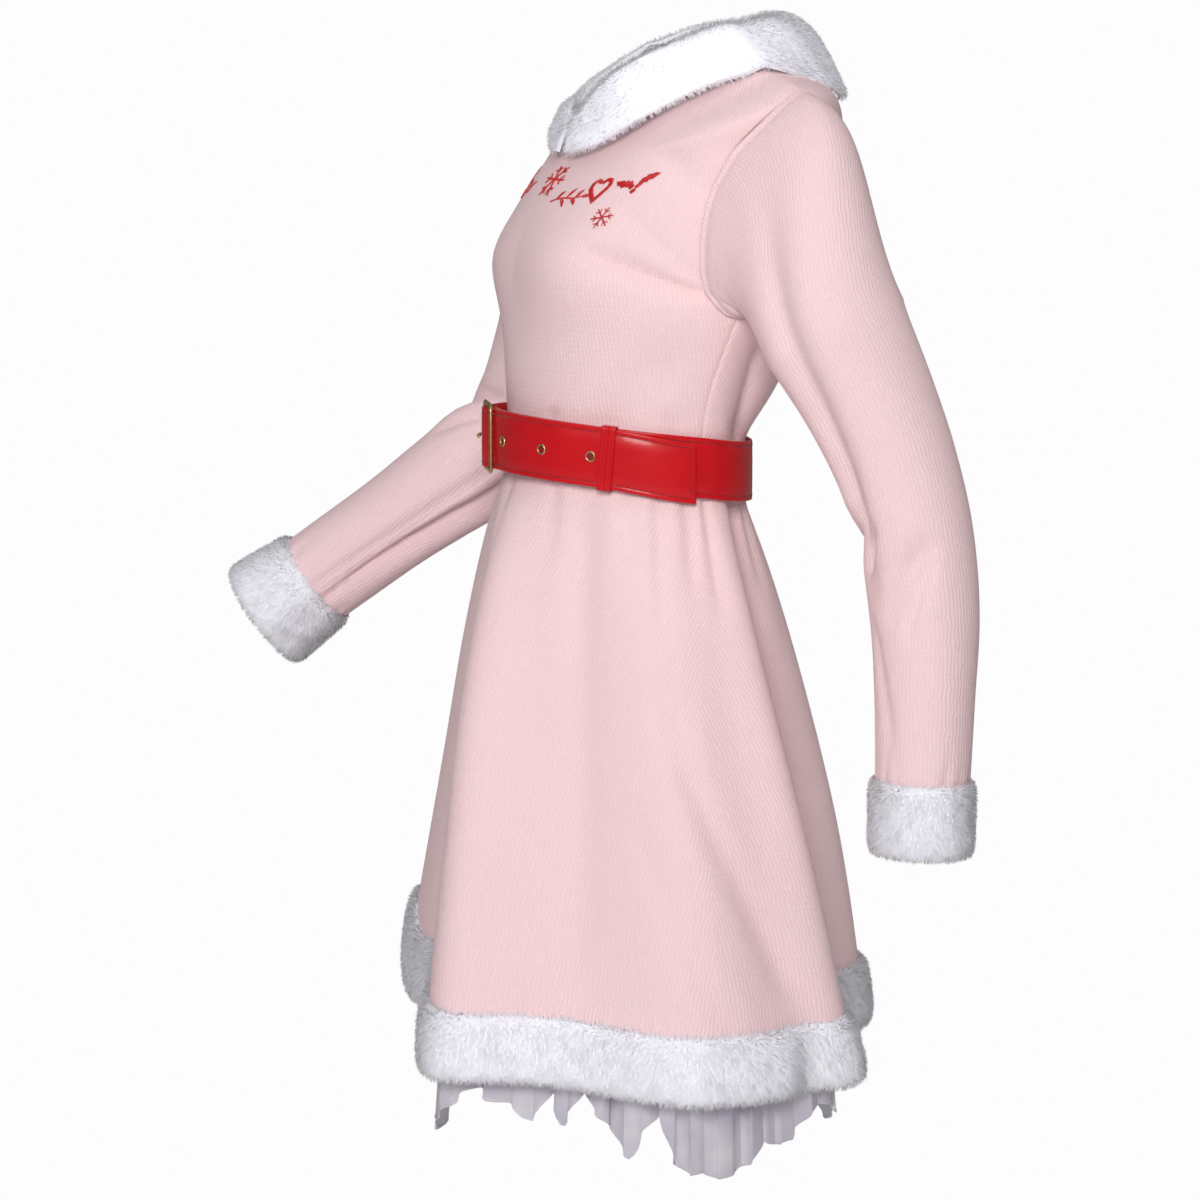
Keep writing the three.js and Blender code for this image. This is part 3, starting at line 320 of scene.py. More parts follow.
def vec(x, y, z):
    return np.stack(np.broadcast_arrays(x, y, z), -1).astype(float)


def row_at(table, position):
    """A row between the rows of a table, by a smooth curve through each column."""
    position = np.asarray(position, float)
    last = len(table) - 1
    i = np.clip(np.floor(position).astype(int), 0, last - 1)
    k = position - i
    row = {}
    for name in table[0]._fields[1:]:
        value = np.array([getattr(entry, name) for entry in table], float)
        p0, p1 = value[np.maximum(0, i - 1)], value[i]
        p2, p3 = value[i + 1], value[np.minimum(last, i + 2)]
        b, c = p2 - p0, 2 * p0 - 5 * p1 + 4 * p2 - p3
        row[name] = 0.5 * (2 * p1 + b * k + c * k**2 + (3 * p1 - p0 - 3 * p2 + p3) * k**3)
    return SimpleNamespace(**row)


def ring_point(ring, degrees):
    turn = np.radians(degrees)
    c = np.cos(turn)
    end_y = np.where(c > 0, ring.front_y, ring.back_y)
    end_z = np.where(c > 0, ring.front_z, ring.back_z)
    return vec(
        ring.side_x * np.sin(turn),
        mix(ring.side_y, end_y, np.abs(c)),
        mix(ring.side_z, end_z, np.abs(c)),
    )


def outward(ring, point):
    middle = (ring.front_y + ring.back_y) / 2
    return unit(vec(point[..., 0], point[..., 1] - middle, 0.0))


def crease_depth(crease, along, across):
    """How deep a crease is at a place, as a soft trough between its two ends."""
    k = (along - crease.from_down) / (crease.to_down - crease.from_down)
    middle = mix(crease.from_angle, crease.to_angle, clamp01(k))
    ends = smooth(1 - np.maximum(0, np.abs(k - 0.5) - 0.3) / 0.5)
    return crease.depth * ends * bell(angle_between(across, middle), crease.spread)


def creases_at(table, along, across):
    return sum(crease_depth(c, along, across) for c in table)


def ripples(p, seed, size, count=7):
    """A smooth uneven value from about -1 to 1 that changes over size millimetres."""
    rng = np.random.default_rng(seed)
    ways = unit(rng.normal(size=(count, 3))) * (2 * math.pi / size) * rng.uniform(0.6, 1.5, (count, 1))
    phases = rng.uniform(0, 2 * math.pi, count)
    return np.sin(p @ ways.T + phases).sum(-1) / math.sqrt(count) / 0.9


# Places on the garment


def bodice_point(degrees, row):
    ring = row_at(BODICE_RINGS, row)
    point = ring_point(ring, degrees)
    out = outward(ring, point)
    level = bell(point[..., 2] - BUST_Z, BUST_HEIGHT)
    bust = bell(np.abs(angle_between(degrees, 0)) - BUST_ANGLE, BUST_SPREAD) * level * BUST_RISE
    crease = creases_at(BODICE_CREASES, row, degrees) * smooth(row / 0.4)
    return point + out * (bust - crease)[..., None]


def armhole_reach(row, widest):
    k = clamp01((row - UNDERARM_ROW) / (SHOULDER_ROW - UNDERARM_ROW))
    return widest * 2 * np.sqrt(k * (1 - k))


def seam_angle(row):
    return np.degrees(SEAM_GAP / 2 / row_at(BODICE_RINGS, row).side_x)


def skirt_point(degrees, row):
    ring = row_at(SKIRT_RINGS, row)
    point = ring_point(ring, degrees)
    down = row / HEM_ROW
    rise = 0.0
    lift = HEM_LIFT_RIGHT * (0.5 - point[..., 0] / HEM_LIFT_WIDTH)
    for fold in SKIRT_FOLDS:
        grown = np.sin(math.pi / 2 * clamp01((down - fold.start) / (1 - fold.start)))
        near = bell(angle_between(degrees, mix(fold.top, fold.hem, clamp01(down))), fold.spread)
        rise = rise + fold.rise * grown * near
        lift = lift + fold.lift * near
    point = point + outward(ring, point) * rise[..., None]
    point[..., 2] += lift * smooth(down)
    return point


def armhole_point(side, degrees):
    """The sleeve's upper edge, just over the bodice's: 0 is the shoulder, 90 the front, 180 the
    underarm."""
    degrees = degrees % 360
    front = degrees <= 180
    up = np.where(front, 1 - degrees / 180, degrees / 180 - 1)
    row = mix(UNDERARM_ROW, SHOULDER_ROW, (1 - np.cos(up * math.pi)) / 2)
    widest = np.where(front, ARMHOLE_FRONT, ARMHOLE_BACK)
    reach = armhole_reach(row, widest) + SLEEVE_OVER
    angle = side * np.where(front, 90 - reach, 90 + reach)
    return bodice_skin(angle, row) + skin_normals(bodice_skin, angle, row, 1) * SLEEVE_LIFT


def section_centre(table, k):
    row = row_at(table, k)
    return vec(row.x, row.y, row.z)


def section_frame(table, k, side):
    """The axis, outward and front directions of a sleeve at a section."""
    last = len(table) - 1
    above, below = np.maximum(0, k - 0.05), np.minimum(last, k + 0.05)
    axis = unit(section_centre(table, below) - section_centre(table, above))
    away = np.array([side, 0.0, 0.0])
    out = unit(away - axis * (axis @ away)[..., None])
    return axis, out, unit(np.cross(axis, out)) * side


def section_point(table, k, side, degrees, creases):
    k = np.asarray(k, float)
    row = row_at(table, k)
    _, out, front = section_frame(table, k, side)
    down = SECTIONS_FROM + (1 - SECTIONS_FROM) * k / (len(table) - 1)
    crease = creases_at(creases, down, degrees)
    c = np.cos(np.radians(degrees)) * (row.out_half - crease)
    s = np.sin(np.radians(degrees)) * (row.front_half - crease)
    return vec(row.x, row.y, row.z) + out * c[..., None] + front * s[..., None]


def cap_point(table, side, degrees, k, creases):
    """A smooth path from the armhole's edge to the first sleeve section."""
    start = armhole_point(side, degrees)
    end = section_point(table, np.zeros_like(degrees), side, degrees, creases)
    axis, _, _ = section_frame(table, np.array(0.0), side)
    reach = np.linalg.norm(start - end, axis=-1, keepdims=True)
    leave = unit(np.array([side, *CAP_LEAVE])) * reach * CAP_PULL
    arrive = axis * reach * CAP_PULL
    k = k[..., None]
    return (
        start * (2 * k**3 - 3 * k**2 + 1)
        + leave * (k**3 - 2 * k**2 + k)
        + end * (3 * k**2 - 2 * k**3)
        + arrive * (k**3 - k**2)
    )


def collar_point(degrees, position):
    last = len(COLLAR_RINGS) - 1
    aside = np.abs(angle_between(degrees, 0))
    short = COLLAR_SHORT * bell(aside - COLLAR_SHORT_ANGLE, COLLAR_SHORT_SPREAD)
    row = position - short * np.maximum(0, position - COLLAR_FALL_ROW)
    point = ring_point(row_at(COLLAR_RINGS, row), degrees)
    fall = smooth((last - row) / 2 - 0.2)
    early = fall * smooth((row - COLLAR_EARLY) / COLLAR_RAMP)
    late = fall * smooth((row - COLLAR_LATE) / COLLAR_RAMP)
    wave = late * COLLAR_TILT * point[..., 0]
    for each in COLLAR_WAVES:
        free = early if each.rise > 0 else late
        wave = wave + free * each.rise * bell(angle_between(degrees, each.angle), each.spread)
    edge = smooth((row - COLLAR_FALL_ROW + 0.6) / 1.6)
    drop = COLLAR_DROP * bell(aside - COLLAR_DROP_ANGLE, COLLAR_DROP_SPREAD)
    drop = drop + SHOULDER_REST * bell(aside - SHOULDER_REST_ANGLE, SHOULDER_REST_SPREAD)
    point[..., 2] += wave - edge * drop
    return point


def belt_point(degrees, offset, up):
    ring = row_at(BODICE_RINGS, 0.0)
    point = ring_point(ring, degrees)
    slack = BELT_FRONT_SLACK * bell(angle_between(degrees, BUCKLE_ANGLE), BELT_SLACK_SPREAD)
    point = point + outward(ring, point) * (BELT_STAND_OFF + slack + offset)[..., None]
    point[..., 2] += up
    return point


def strap_lift(angle):
    angles = [stop.angle for stop in STRAP_ROUTE]
    lifts = np.array([stop.lift for stop in STRAP_ROUTE], float)
    i = np.clip(np.searchsorted(angles, angle) - 1, 0, len(angles) - 2)
    a, b = np.array(angles, float)[i], np.array(angles, float)[i + 1]
    return mix(lifts[i], lifts[i + 1], smooth((angle - a) / (b - a)))


def strap_droop(angle):
    return STRAP_END_DROOP * smooth((angle - STRAP_DROOP_START) / (STRAP_END - STRAP_DROOP_START))


def belt_frame(degrees, offset):
    """The place, and the directions along, up and away from the belt, at an angle."""
    d, o = np.array(float(degrees)), np.array(float(offset))
    along = unit(belt_point(d + 1, o, 0.0) - belt_point(d - 1, o, 0.0))
    up = unit(np.array([0.0, 0.0, 1.0]) - along * along[2])
    return belt_point(d, o, 0.0), along, up, unit(np.cross(along, up))


# Meshes


def mesh_from(name, points, *faces):
    """A mesh from points in millimetres and arrays of triangles or quads."""
    mesh = bpy.data.meshes.new(name)
    mesh.vertices.add(len(points))
    mesh.vertices.foreach_set("co", (np.asarray(points) * 0.001).astype(np.float32).ravel())
    faces = [np.asarray(f, np.int32) for f in faces if len(f)]
    sizes = np.concatenate([np.full(len(f), f.shape[1]) for f in faces])
    mesh.loops.add(int(sizes.sum()))
    mesh.loops.foreach_set("vertex_index", np.concatenate([f.ravel() for f in faces]))
    mesh.polygons.add(len(sizes))
    mesh.polygons.foreach_set("loop_start", (np.cumsum(sizes) - sizes).astype(np.int32))
    mesh.update(calc_edges=True)
    mesh.shade_smooth()
    return mesh


def place(name, mesh, material, slot, nodes=()):
    """Puts a piece into the scene, on the dress's one body, named after its material's slot."""
    piece = bpy.data.objects.new(f"{name}_{slot}", mesh)
    bpy.context.scene.collection.objects.link(piece)
    mesh.materials.append(material)
    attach(piece, "root")
    if nodes:
        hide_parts(*nodes)
    return piece


def set_attribute(mesh, name, kind, values):
    field = {"FLOAT": "value", "FLOAT_VECTOR": "vector"}[kind]
    attribute = mesh.attributes.new(name, kind, "POINT")
    attribute.data.foreach_set(field, np.asarray(values, np.float32).ravel())


def grid_normals(grid, closed):
    """Normals of a grid of points, turned away from each row's middle."""
    if closed:
        around = np.roll(grid, -1, 1) - np.roll(grid, 1, 1)
    else:
        around = np.gradient(grid, axis=1)
    normals = unit(np.cross(around, np.gradient(grid, axis=0)))
    away = grid - grid.mean(axis=1, keepdims=True)
    return normals if (normals * away).sum() > 0 else -normals


def grid_faces(rows, columns, closed, layer=0):
    r, c = np.meshgrid(np.arange(rows - 1), np.arange(columns if closed else columns - 1), indexing="ij")
    n = (c + 1) % columns
    a, b = r * columns + c, r * columns + n
    faces = np.stack([a, b, b + columns, a + columns], -1).reshape(-1, 4)
    return faces + layer * rows * columns


def distances(grid, axis):
    steps = np.linalg.norm(np.diff(grid, axis=axis), axis=-1)
    total = np.cumsum(steps, axis=axis)
    pad = [(0, 0), (0, 0)]
    pad[axis] = (1, 0)
    return np.pad(total, pad)


def cloth_shell(name, grid, thickness, closed, normals=None):
    """A wall of cloth with the grid as its outer face. It keeps each point's place on the
    cloth, in millimetres round and down, in the attribute cloth."""
    rows, columns = grid.shape[:2]
    normals = grid_normals(grid, closed) if normals is None else normals
    inner = grid - normals * thickness
    points = np.concatenate([grid.reshape(-1, 3), inner.reshape(-1, 3)])
    outside = grid_faces(rows, columns, closed)
    inside = grid_faces(rows, columns, closed, 1)[:, ::-1]
    n = rows * columns
    rims = []
    top = np.arange(columns)
    bottom = (rows - 1) * columns + top
    for edge, turned in ((top, True), (bottom, False)):
        following = np.roll(edge, -1)
        rim = np.stack([edge, following, following + n, edge + n], -1)
        rim = rim if closed else rim[:-1]
        rims.append(rim[:, ::-1] if not turned else rim)
    if not closed:
        left = np.arange(rows) * columns
        for edge, turned in ((left, False), (left + columns - 1, True)):
            rim = np.stack([edge[:-1], edge[1:], edge[1:] + n, edge[:-1] + n], -1)
            rims.append(rim[:, ::-1] if not turned else rim)
    faces = np.concatenate([outside, inside, *rims])
    corner = points[faces]
    across = np.cross(corner[:, 2] - corner[:, 0], corner[:, 3] - corner[:, 1])
    if (across[: len(outside)] * normals[:-1, : columns if closed else -1].reshape(-1, 3)).sum() < 0:
        faces = faces[:, ::-1]
    mesh = mesh_from(name, points, faces)
    mesh.set_sharp_from_angle(angle=SHARP_FROM)
    middle = columns // 2
    round_it = distances(grid, 1)
    round_it = round_it - round_it[:, middle:middle + 1]
    down_it = np.repeat(distances(grid, 0)[:, middle:middle + 1], columns, 1)
    place_on_cloth = np.stack([round_it, down_it, np.zeros_like(round_it)], -1).reshape(-1, 3)
    set_attribute(mesh, "cloth", "FLOAT_VECTOR", np.concatenate([place_on_cloth] * 2))
    return mesh


def swept(stations, closed):
    """Points and faces of a band swept along stations, each a closed outline."""
    count, sides = stations.shape[:2]
    s, k = np.meshgrid(np.arange(count if closed else count - 1), np.arange(sides), indexing="ij")
    n, m = (s + 1) % count, (k + 1) % sides
    faces = np.stack([s * sides + k, n * sides + k, n * sides + m, s * sides + m], -1).reshape(-1, 4)
    return stations.reshape(-1, 3), faces


def swept_mesh(name, stations, closed):
    points, faces = swept(stations, closed)
    count, sides = stations.shape[:2]
    corner = points[faces]
    volume = (np.cross(corner[:, 0], corner[:, 1]) * corner[:, 2]).sum()
    volume += (np.cross(corner[:, 0], corner[:, 2]) * corner[:, 3]).sum()
    turned = volume < 0
    caps = []
    if not closed:
        ends = np.concatenate([points, [stations[0].mean(0), stations[-1].mean(0)]])
        k = np.arange(sides)
        m = (k + 1) % sides
        first = np.stack([k, m, np.full(sides, len(points))], -1)
        last = (count - 1) * sides
        second = np.stack([last + m, last + k, np.full(sides, len(points) + 1)], -1)
        caps = np.concatenate([first, second])
        points = ends
    if turned:
        faces = faces[:, ::-1]
        caps = caps[:, ::-1] if len(caps) else caps
    mesh = mesh_from(name, points, faces, caps)
    mesh.set_sharp_from_angle(angle=SHARP_FROM)
    return mesh


def roll_in(grid, normals, columns=True, first=True, last=True):
    """Turns a panel's edges in, as a sewn seam pulls them."""
    sink = np.zeros(grid.shape[:2])
    if columns:
        across = distances(grid, 1)
        sink += bell(across, SEAM_WIDTH) + bell(across[:, -1:] - across, SEAM_WIDTH)
    along = distances(grid, 0)
    if first:
        sink += bell(along, SEAM_WIDTH)
    if last:
        sink += bell(along[-1:] - along, SEAM_WIDTH)
    return grid - normals * (np.minimum(sink, 1) * SEAM_DEPTH)[..., None]


def edged(count, edge=(0.0025, 0.006, 0.011, 0.02)):
    """Shares from 0 to 1, closest together at both ends, where the seams are."""
    inner = np.linspace(edge[-1] * 1.6, 1 - edge[-1] * 1.6, count)
    edge = np.array(edge)
    return np.concatenate([[0], edge, inner, 1 - edge[::-1], [1]])


def path_lengths(path):
    """How far along a path each of its points is."""
    return np.concatenate([[0], np.cumsum(np.linalg.norm(np.diff(path, axis=0), axis=1))])


def path_values(values, along, wanted):
    """The values at the wanted places of a path, from those at its points."""
    return np.stack([np.interp(wanted, along, values[:, i]) for i in range(values.shape[1])], -1)


def arc_spaced(outline, count, closed=True):
    """The same outline with evenly spaced points."""
    points = np.vstack([outline, outline[:1]]) if closed else np.asarray(outline)
    along = path_lengths(points)
    wanted = np.linspace(0, along[-1], count + 1)[:-1] if closed else np.linspace(0, along[-1], count)
    return path_values(points, along, wanted)


def full_turn(count):
    """Evenly spaced angles round a circle, in radians."""
    return np.arange(count) * 2 * math.pi / count


def bodice_skin(degrees, row):
    """The bodice's surface with its fine creases."""
    degrees, row = np.broadcast_arrays(np.asarray(degrees, float), np.asarray(row, float))
    point = bodice_point(degrees, row)
    fine = creases_at(FINE_BODICE_CREASES, row, degrees)
    return point - outward(row_at(BODICE_RINGS, row), point) * fine[..., None]


def skirt_skin(degrees, row):
    degrees, row = np.broadcast_arrays(np.asarray(degrees, float), np.asarray(row, float))
    point = skirt_point(degrees, row)
    fine = creases_at(FINE_SKIRT_CREASES, row, degrees)
    return point - outward(row_at(SKIRT_RINGS, row), point) * fine[..., None]


def skin_normals(point_at, degrees, row, sign):
    """Normals taken from the surface itself, so that two panels agree along their seam."""
    around = point_at(degrees + SLOPE_DEGREES, row) - point_at(degrees - SLOPE_DEGREES, row)
    along = point_at(degrees, row + SLOPE_ROWS) - point_at(degrees, row - SLOPE_ROWS)
    return unit(np.cross(around, along)) * sign


# Threads and pile


def threads(name, starts, ends, outs, radius, rise):
    """Short thick threads from each start to its end, bowed out in the middle."""
    shares = np.array([0.0, 0.14, 0.5, 0.86, 1.0])
    fullness = np.array([0.25, 0.9, 1.0, 0.9, 0.25])
    sides = 5
    each = len(shares) * sides
    bow = rise * np.sin(shares * math.pi)
    turns = full_turn(sides)
    line = mix(starts[:, None], ends[:, None], shares[None, :, None]) + outs[:, None] * bow[None, :, None]
    side = unit(np.cross(ends - starts, outs))
    ring = side[:, None] * np.cos(turns)[None, :, None] + outs[:, None] * np.sin(turns)[None, :, None]
    points = line[:, :, None] + ring[:, None] * (fullness * radius)[None, :, None, None]
    _, pattern = swept(np.zeros((len(shares), sides, 3)), False)
    offsets = (np.arange(len(starts)) * each)[:, None, None]
    faces = (pattern[None] + offsets).reshape(-1, 4)
    points = points.reshape(-1, 3)
    corner = points[faces[: len(pattern)]]
    away = corner.mean(1) - points[:each].mean(0)
    if (np.cross(corner[:, 2] - corner[:, 0], corner[:, 3] - corner[:, 1]) * away).sum() < 0:
        faces = faces[:, ::-1]
    return mesh_from(name, points, faces)


def pile(name, grid, normals, count, length, lean, width, seed, shading=None):
    """Short hairs rooted all over a grid. They lean down it in clumps; length, in millimetres,
    and lean, in degrees from the surface's normal, are given for each of its rows. Where shading
    is given, the hairs take the light as that grid of normals does."""
    rng = np.random.default_rng(seed)
    down = unit(np.gradient(grid, axis=0))
    diagonals = grid[1:, 1:] - grid[:-1, :-1], grid[1:, :-1] - grid[:-1, 1:]
    cells = np.linalg.norm(np.cross(*diagonals), axis=-1)
    picked = rng.choice(cells.size, count, p=(cells / cells.sum()).ravel())
    r, c = np.divmod(picked, cells.shape[1])
    fr, fc = rng.random((2, count, 1))

    def at(field):
        return mix(mix(field[r, c], field[r, c + 1], fc), mix(field[r + 1, c], field[r + 1, c + 1], fc), fr)

    root, normal, way = at(grid), unit(at(normals)), unit(at(down))
    row = (r + fr[:, 0]) / (len(grid) - 1)
    shares = np.linspace(0, 1, len(length))
    long = np.interp(row, shares, length)[:, None]
    tilt = np.radians(np.interp(row, shares, lean))[:, None]
    clump = ripples(root, seed, CLUMP_SIZE)[:, None]
    tuft = ripples(root, seed + 1, TUFT_SIZE)[:, None]
    side = np.cross(normal, way)
    tilt = tilt + 0.12 * clump + 0.09 * tuft
    stray = rng.normal(size=(count, 3)) * 0.1
    way1 = unit(normal * np.cos(tilt) + way * np.sin(tilt) + side * (0.16 * tuft + 0.14 * clump) + stray)
    long = long * (1 + 0.06 * clump + 0.1 * rng.normal(size=(count, 1)))
    way2 = unit(way1 + way * 0.4 + side * 0.25 * clump + stray)
    across = unit(np.cross(way1, normal) + rng.normal(size=(count, 3)) * 0.4)
    facing = (np.cross(across, way1) * normal).sum(-1, keepdims=True)
    across = across * np.where(facing < 0, -1, 1) * width * rng.uniform(0.7, 1.3, (count, 1)) / 2
    middle = root + way1 * long * 0.55
    tip = middle + way2 * long * 0.45
    low = root - way1 * ROOT_DEPTH
    waist = across * 0.85
    points = np.stack([low - across, low + across, middle + waist, middle - waist, tip], 1)
    each = points.shape[1]
    start = (np.arange(count) * each)[:, None]
    quads, tips = start + np.array([0, 1, 2, 3]), start + np.array([3, 2, 4])
    mesh = mesh_from(name, points.reshape(-1, 3), quads, tips)
    # Painted shade: each hair is darker toward its root and in some clumps; the fur's material reads this
    # value.
    shade = clamp01(0.62 - 0.22 * clump - 0.12 * tuft)
    low, high = shade * 0.4, shade * 0.4 + 0.5
    tone = np.stack([low, low, high, high, shade * 0.3 + 0.8], 1)
    set_attribute(mesh, "tone", "FLOAT", tone.ravel())
    lit = normal if shading is None else unit(at(shading))
    soft = unit(lit + way1 * 0.2 - side * 0.12 * tuft + way * 0.1 * clump)
    soft = np.repeat(soft[:, None], each, 1).reshape(-1, 3)
    mesh.normals_split_custom_set_from_vertices(soft)
    return mesh


# Materials


def link(tree, source, socket):
    """Joins a node's output to an input, or sets the input to a number or colour."""
    if isinstance(source, bpy.types.NodeSocket):
        tree.links.new(source, socket)
    else:
        socket.default_value = source


def add_node(tree, kind, output=0, **inputs):
    """Adds a node, fills its inputs by number (_0, _1) or by name, and gives its output."""
    node = tree.nodes.new(kind)
    for name, value in inputs.items():
        key = int(name[1:]) if name.startswith("_") else name.replace("_", " ")
        link(tree, value, node.inputs[key])
    return node.outputs[output]


def math_of(tree, operation, a, b=0.0):
    node = tree.nodes.new("ShaderNodeMath")
    node.operation = operation
    link(tree, a, node.inputs[0])
    link(tree, b, node.inputs[1])
    return node.outputs[0]


def times(colour, red, green, blue):
    """A colour with each of its channels multiplied."""
    return (colour[0] * red, colour[1] * green, colour[2] * blue, 1)


def colour_between(tree, amount, a, b):
    node = tree.nodes.new("ShaderNodeMix")
    node.data_type = "RGBA"
    link(tree, amount, node.inputs[0])
    link(tree, a, node.inputs[6])
    link(tree, b, node.inputs[7])
    return node.outputs[2]


def range_of(tree, value, low, high, to_low=0.0, to_high=1.0):
    node = tree.nodes.new("ShaderNodeMapRange")
    for socket, part in zip(node.inputs, (value, low, high, to_low, to_high)):
        link(tree, part, socket)
    return node.outputs[0]


def attribute_of(tree, name, output):
    node = tree.nodes.new("ShaderNodeAttribute")
    node.attribute_name = name
    return node.outputs[output]


def new_group(name, inputs, outputs):
    """An empty shader node group with its sockets, and its first and last nodes."""
    group = bpy.data.node_groups.new(name, "ShaderNodeTree")
    for label, value in inputs:
        socket = group.interface.new_socket(label, in_out="INPUT", socket_type="NodeSocketFloat")
        socket.default_value = value
    for label, kind in outputs:
        group.interface.new_socket(label, in_out="OUTPUT", socket_type=kind)
    return group, group.nodes.new("NodeGroupInput"), group.nodes.new("NodeGroupOutput")


def make_soft_variation():
    """A soft uneven drift from 0 to 1, over a size in millimetres."""
    group, start, end = new_group("Soft Variation", [("Size", 40.0)], [("Amount", "NodeSocketFloat")])
    place = group.nodes.new("ShaderNodeTexCoord").outputs["Object"]
    scale = math_of(group, "DIVIDE", 1000.0, start.outputs["Size"])
    noise = add_node(group, "ShaderNodeTexNoise", Vector=place, Scale=scale, Detail=3.0)
    link(group, range_of(group, noise, 0.32, 0.68), end.inputs["Amount"])
    return group


def make_cloth_weave():
    """Knit or weave from the attribute cloth: wales round the cloth and courses down it."""
    inputs = [("Round", 2.6), ("Down", 4.0), ("Down Share", 0.3), ("Depth", 0.0004), ("Fuzz", 0.5)]
    outputs = [("Height", "NodeSocketFloat"), ("Normal", "NodeSocketVector")]
    group, start, end = new_group("Cloth Weave", inputs, outputs)
    place = attribute_of(group, "cloth", "Vector")
    parts = group.nodes.new("ShaderNodeSeparateXYZ")
    link(group, place, parts.inputs[0])
    wobble = add_node(group, "ShaderNodeTexNoise", Vector=place, Scale=0.09, Detail=1.0)
    wobble = range_of(group, wobble, 0.0, 1.0, -2.2, 2.2)
    waves = []
    for axis, size in ((0, "Round"), (1, "Down")):
        moved = math_of(group, "ADD", parts.outputs[axis], wobble)
        turn = math_of(group, "DIVIDE", moved, start.outputs[size])
        waves.append(math_of(group, "SINE", math_of(group, "MULTIPLY", turn, 2 * math.pi)))
    share = start.outputs["Down Share"]
    rest = math_of(group, "SUBTRACT", 1.0, share)
    wales, courses = math_of(group, "MULTIPLY", waves[0], rest), math_of(group, "MULTIPLY", waves[1], share)
    wave = math_of(group, "ADD", wales, courses)
    fuzz = add_node(group, "ShaderNodeTexNoise", Vector=place, Scale=0.8, Detail=3.0)
    fuzz = math_of(group, "MULTIPLY", range_of(group, fuzz, 0.25, 0.75, -1.0, 1.0), start.outputs["Fuzz"])
    height = range_of(group, math_of(group, "ADD", wave, fuzz), -1.4, 1.4)
    link(group, height, end.inputs["Height"])
    bump = group.nodes.new("ShaderNodeBump")
    link(group, start.outputs["Depth"], bump.inputs["Distance"])
    link(group, height, bump.inputs["Height"])
    link(group, bump.outputs[0], end.inputs["Normal"])
    return group


GROUPS = {"Soft Variation": make_soft_variation, "Cloth Weave": make_cloth_weave}


def group_node(tree, name, **inputs):
    node = tree.nodes.new("ShaderNodeGroup")
    node.node_tree = bpy.data.node_groups.get(name) or GROUPS[name]()
    for label, value in inputs.items():
        link(tree, value, node.inputs[label.replace("_", " ")])
    return node.outputs


def shader_of(tree, **values):
    """The material's Principled shader with its constant values set on its own sockets."""
    shader = tree.nodes["Principled BSDF"]
    for name, value in values.items():
        shader.inputs[name.replace("_", " ")].default_value = value
    return shader.inputs


def mottled(tree, colour, size, weaker):
    """A soft drift over a size in millimetres, and the colour as it drifts with it."""
    drift = group_node(tree, "Soft Variation", Size=size)[0]
    return drift, colour_between(tree, drift, times(colour, *weaker), colour)


def surface_between(tree, share, first, second):
    """Makes the material's surface a mix of two shaders, and gives that mix."""
    both = tree.nodes.new("ShaderNodeMixShader")
    for socket, source in zip(both.inputs, (share, first, second)):
        link(tree, source, socket)
    link(tree, both.outputs[0], tree.nodes["Material Output"].inputs["Surface"])
    return both.outputs[0]


def let_light_through(tree, colour, share):
    """Mixes a translucent shader into the material, as light passes through thin cloth or pile."""
    through = add_node(tree, "ShaderNodeBsdfTranslucent", Color=colour)
    return surface_between(tree, share, tree.nodes["Principled BSDF"].outputs[0], through)


def fleece_look(tree, colour):
    shader = shader_of(tree, Roughness=0.95, Sheen_Weight=0.14, Sheen_Roughness=0.5, Specular_IOR_Level=0.15)
    shader["Sheen Tint"].default_value = (1.0, 0.84, 0.86, 1)
    _, base = mottled(tree, colour, 70.0, (0.985, 0.95, 0.955))
    weave = group_node(tree, "Cloth Weave", Round=3.4, Down=4.2, Down_Share=0.25, Depth=0.0004, Fuzz=0.9)
    rubbed = math_of(tree, "MULTIPLY", group_node(tree, "Soft Variation", Size=7.0)[0], 0.5)
    base = colour_between(tree, rubbed, base, times(colour, 0.97, 0.91, 0.92))
    # Painted shade: the knit's low grooves, found from the weave's height, take a deeper pink.
    groove_shade = times(colour, 0.93, 0.84, 0.855)
    link(tree, colour_between(tree, weave["Height"], groove_shade, base), shader["Base Color"])
    link(tree, weave["Normal"], shader["Normal"])


def fur_look(tree, colour):
    """The fur's colour with painted shade: deeper and cooler toward the hairs' roots, in some clumps and on
    the base under the pile, where its shade attribute is low, plus a random drift. Gives that colour.
    """
    shader = shader_of(tree, Roughness=0.8, Sheen_Weight=0.5, Sheen_Roughness=0.4, Specular_IOR_Level=0.2)
    tone = math_of(tree, "MULTIPLY", attribute_of(tree, "tone", "Fac"), 0.85)
    drift = math_of(tree, "MULTIPLY", group_node(tree, "Soft Variation", Size=26.0)[0], 0.25)
    tone = math_of(tree, "ADD", drift, tone)
    base = colour_between(tree, tone, times(colour, 0.91, 0.905, 0.94), colour)
    link(tree, base, shader["Base Color"])
    return base


def pile_look(tree, colour):
    """Fine hairs: they glow with the light that passes through them and cast only faint shadows."""
    hairs = let_light_through(tree, fur_look(tree, colour), 0.45)
    shadow = tree.nodes.new("ShaderNodeLightPath").outputs["Is Shadow Ray"]
    clear = tree.nodes.new("ShaderNodeBsdfTransparent").outputs[0]
    surface_between(tree, math_of(tree, "MULTIPLY", shadow, 0.94), hairs, clear)


def satin_look(tree, colour):
    shader = shader_of(tree, Roughness=0.42, Sheen_Weight=0.2, Sheen_Roughness=0.3, Specular_IOR_Level=0.45)
    _, base = mottled(tree, colour, 30.0, (0.86, 0.84, 0.9))
    weave = group_node(tree, "Cloth Weave", Round=0.8, Down=0.8, Down_Share=0.5, Depth=0.00006, Fuzz=0.25)
    link(tree, base, shader["Base Color"])
    link(tree, weave["Normal"], shader["Normal"])
    let_light_through(tree, base, 0.5)


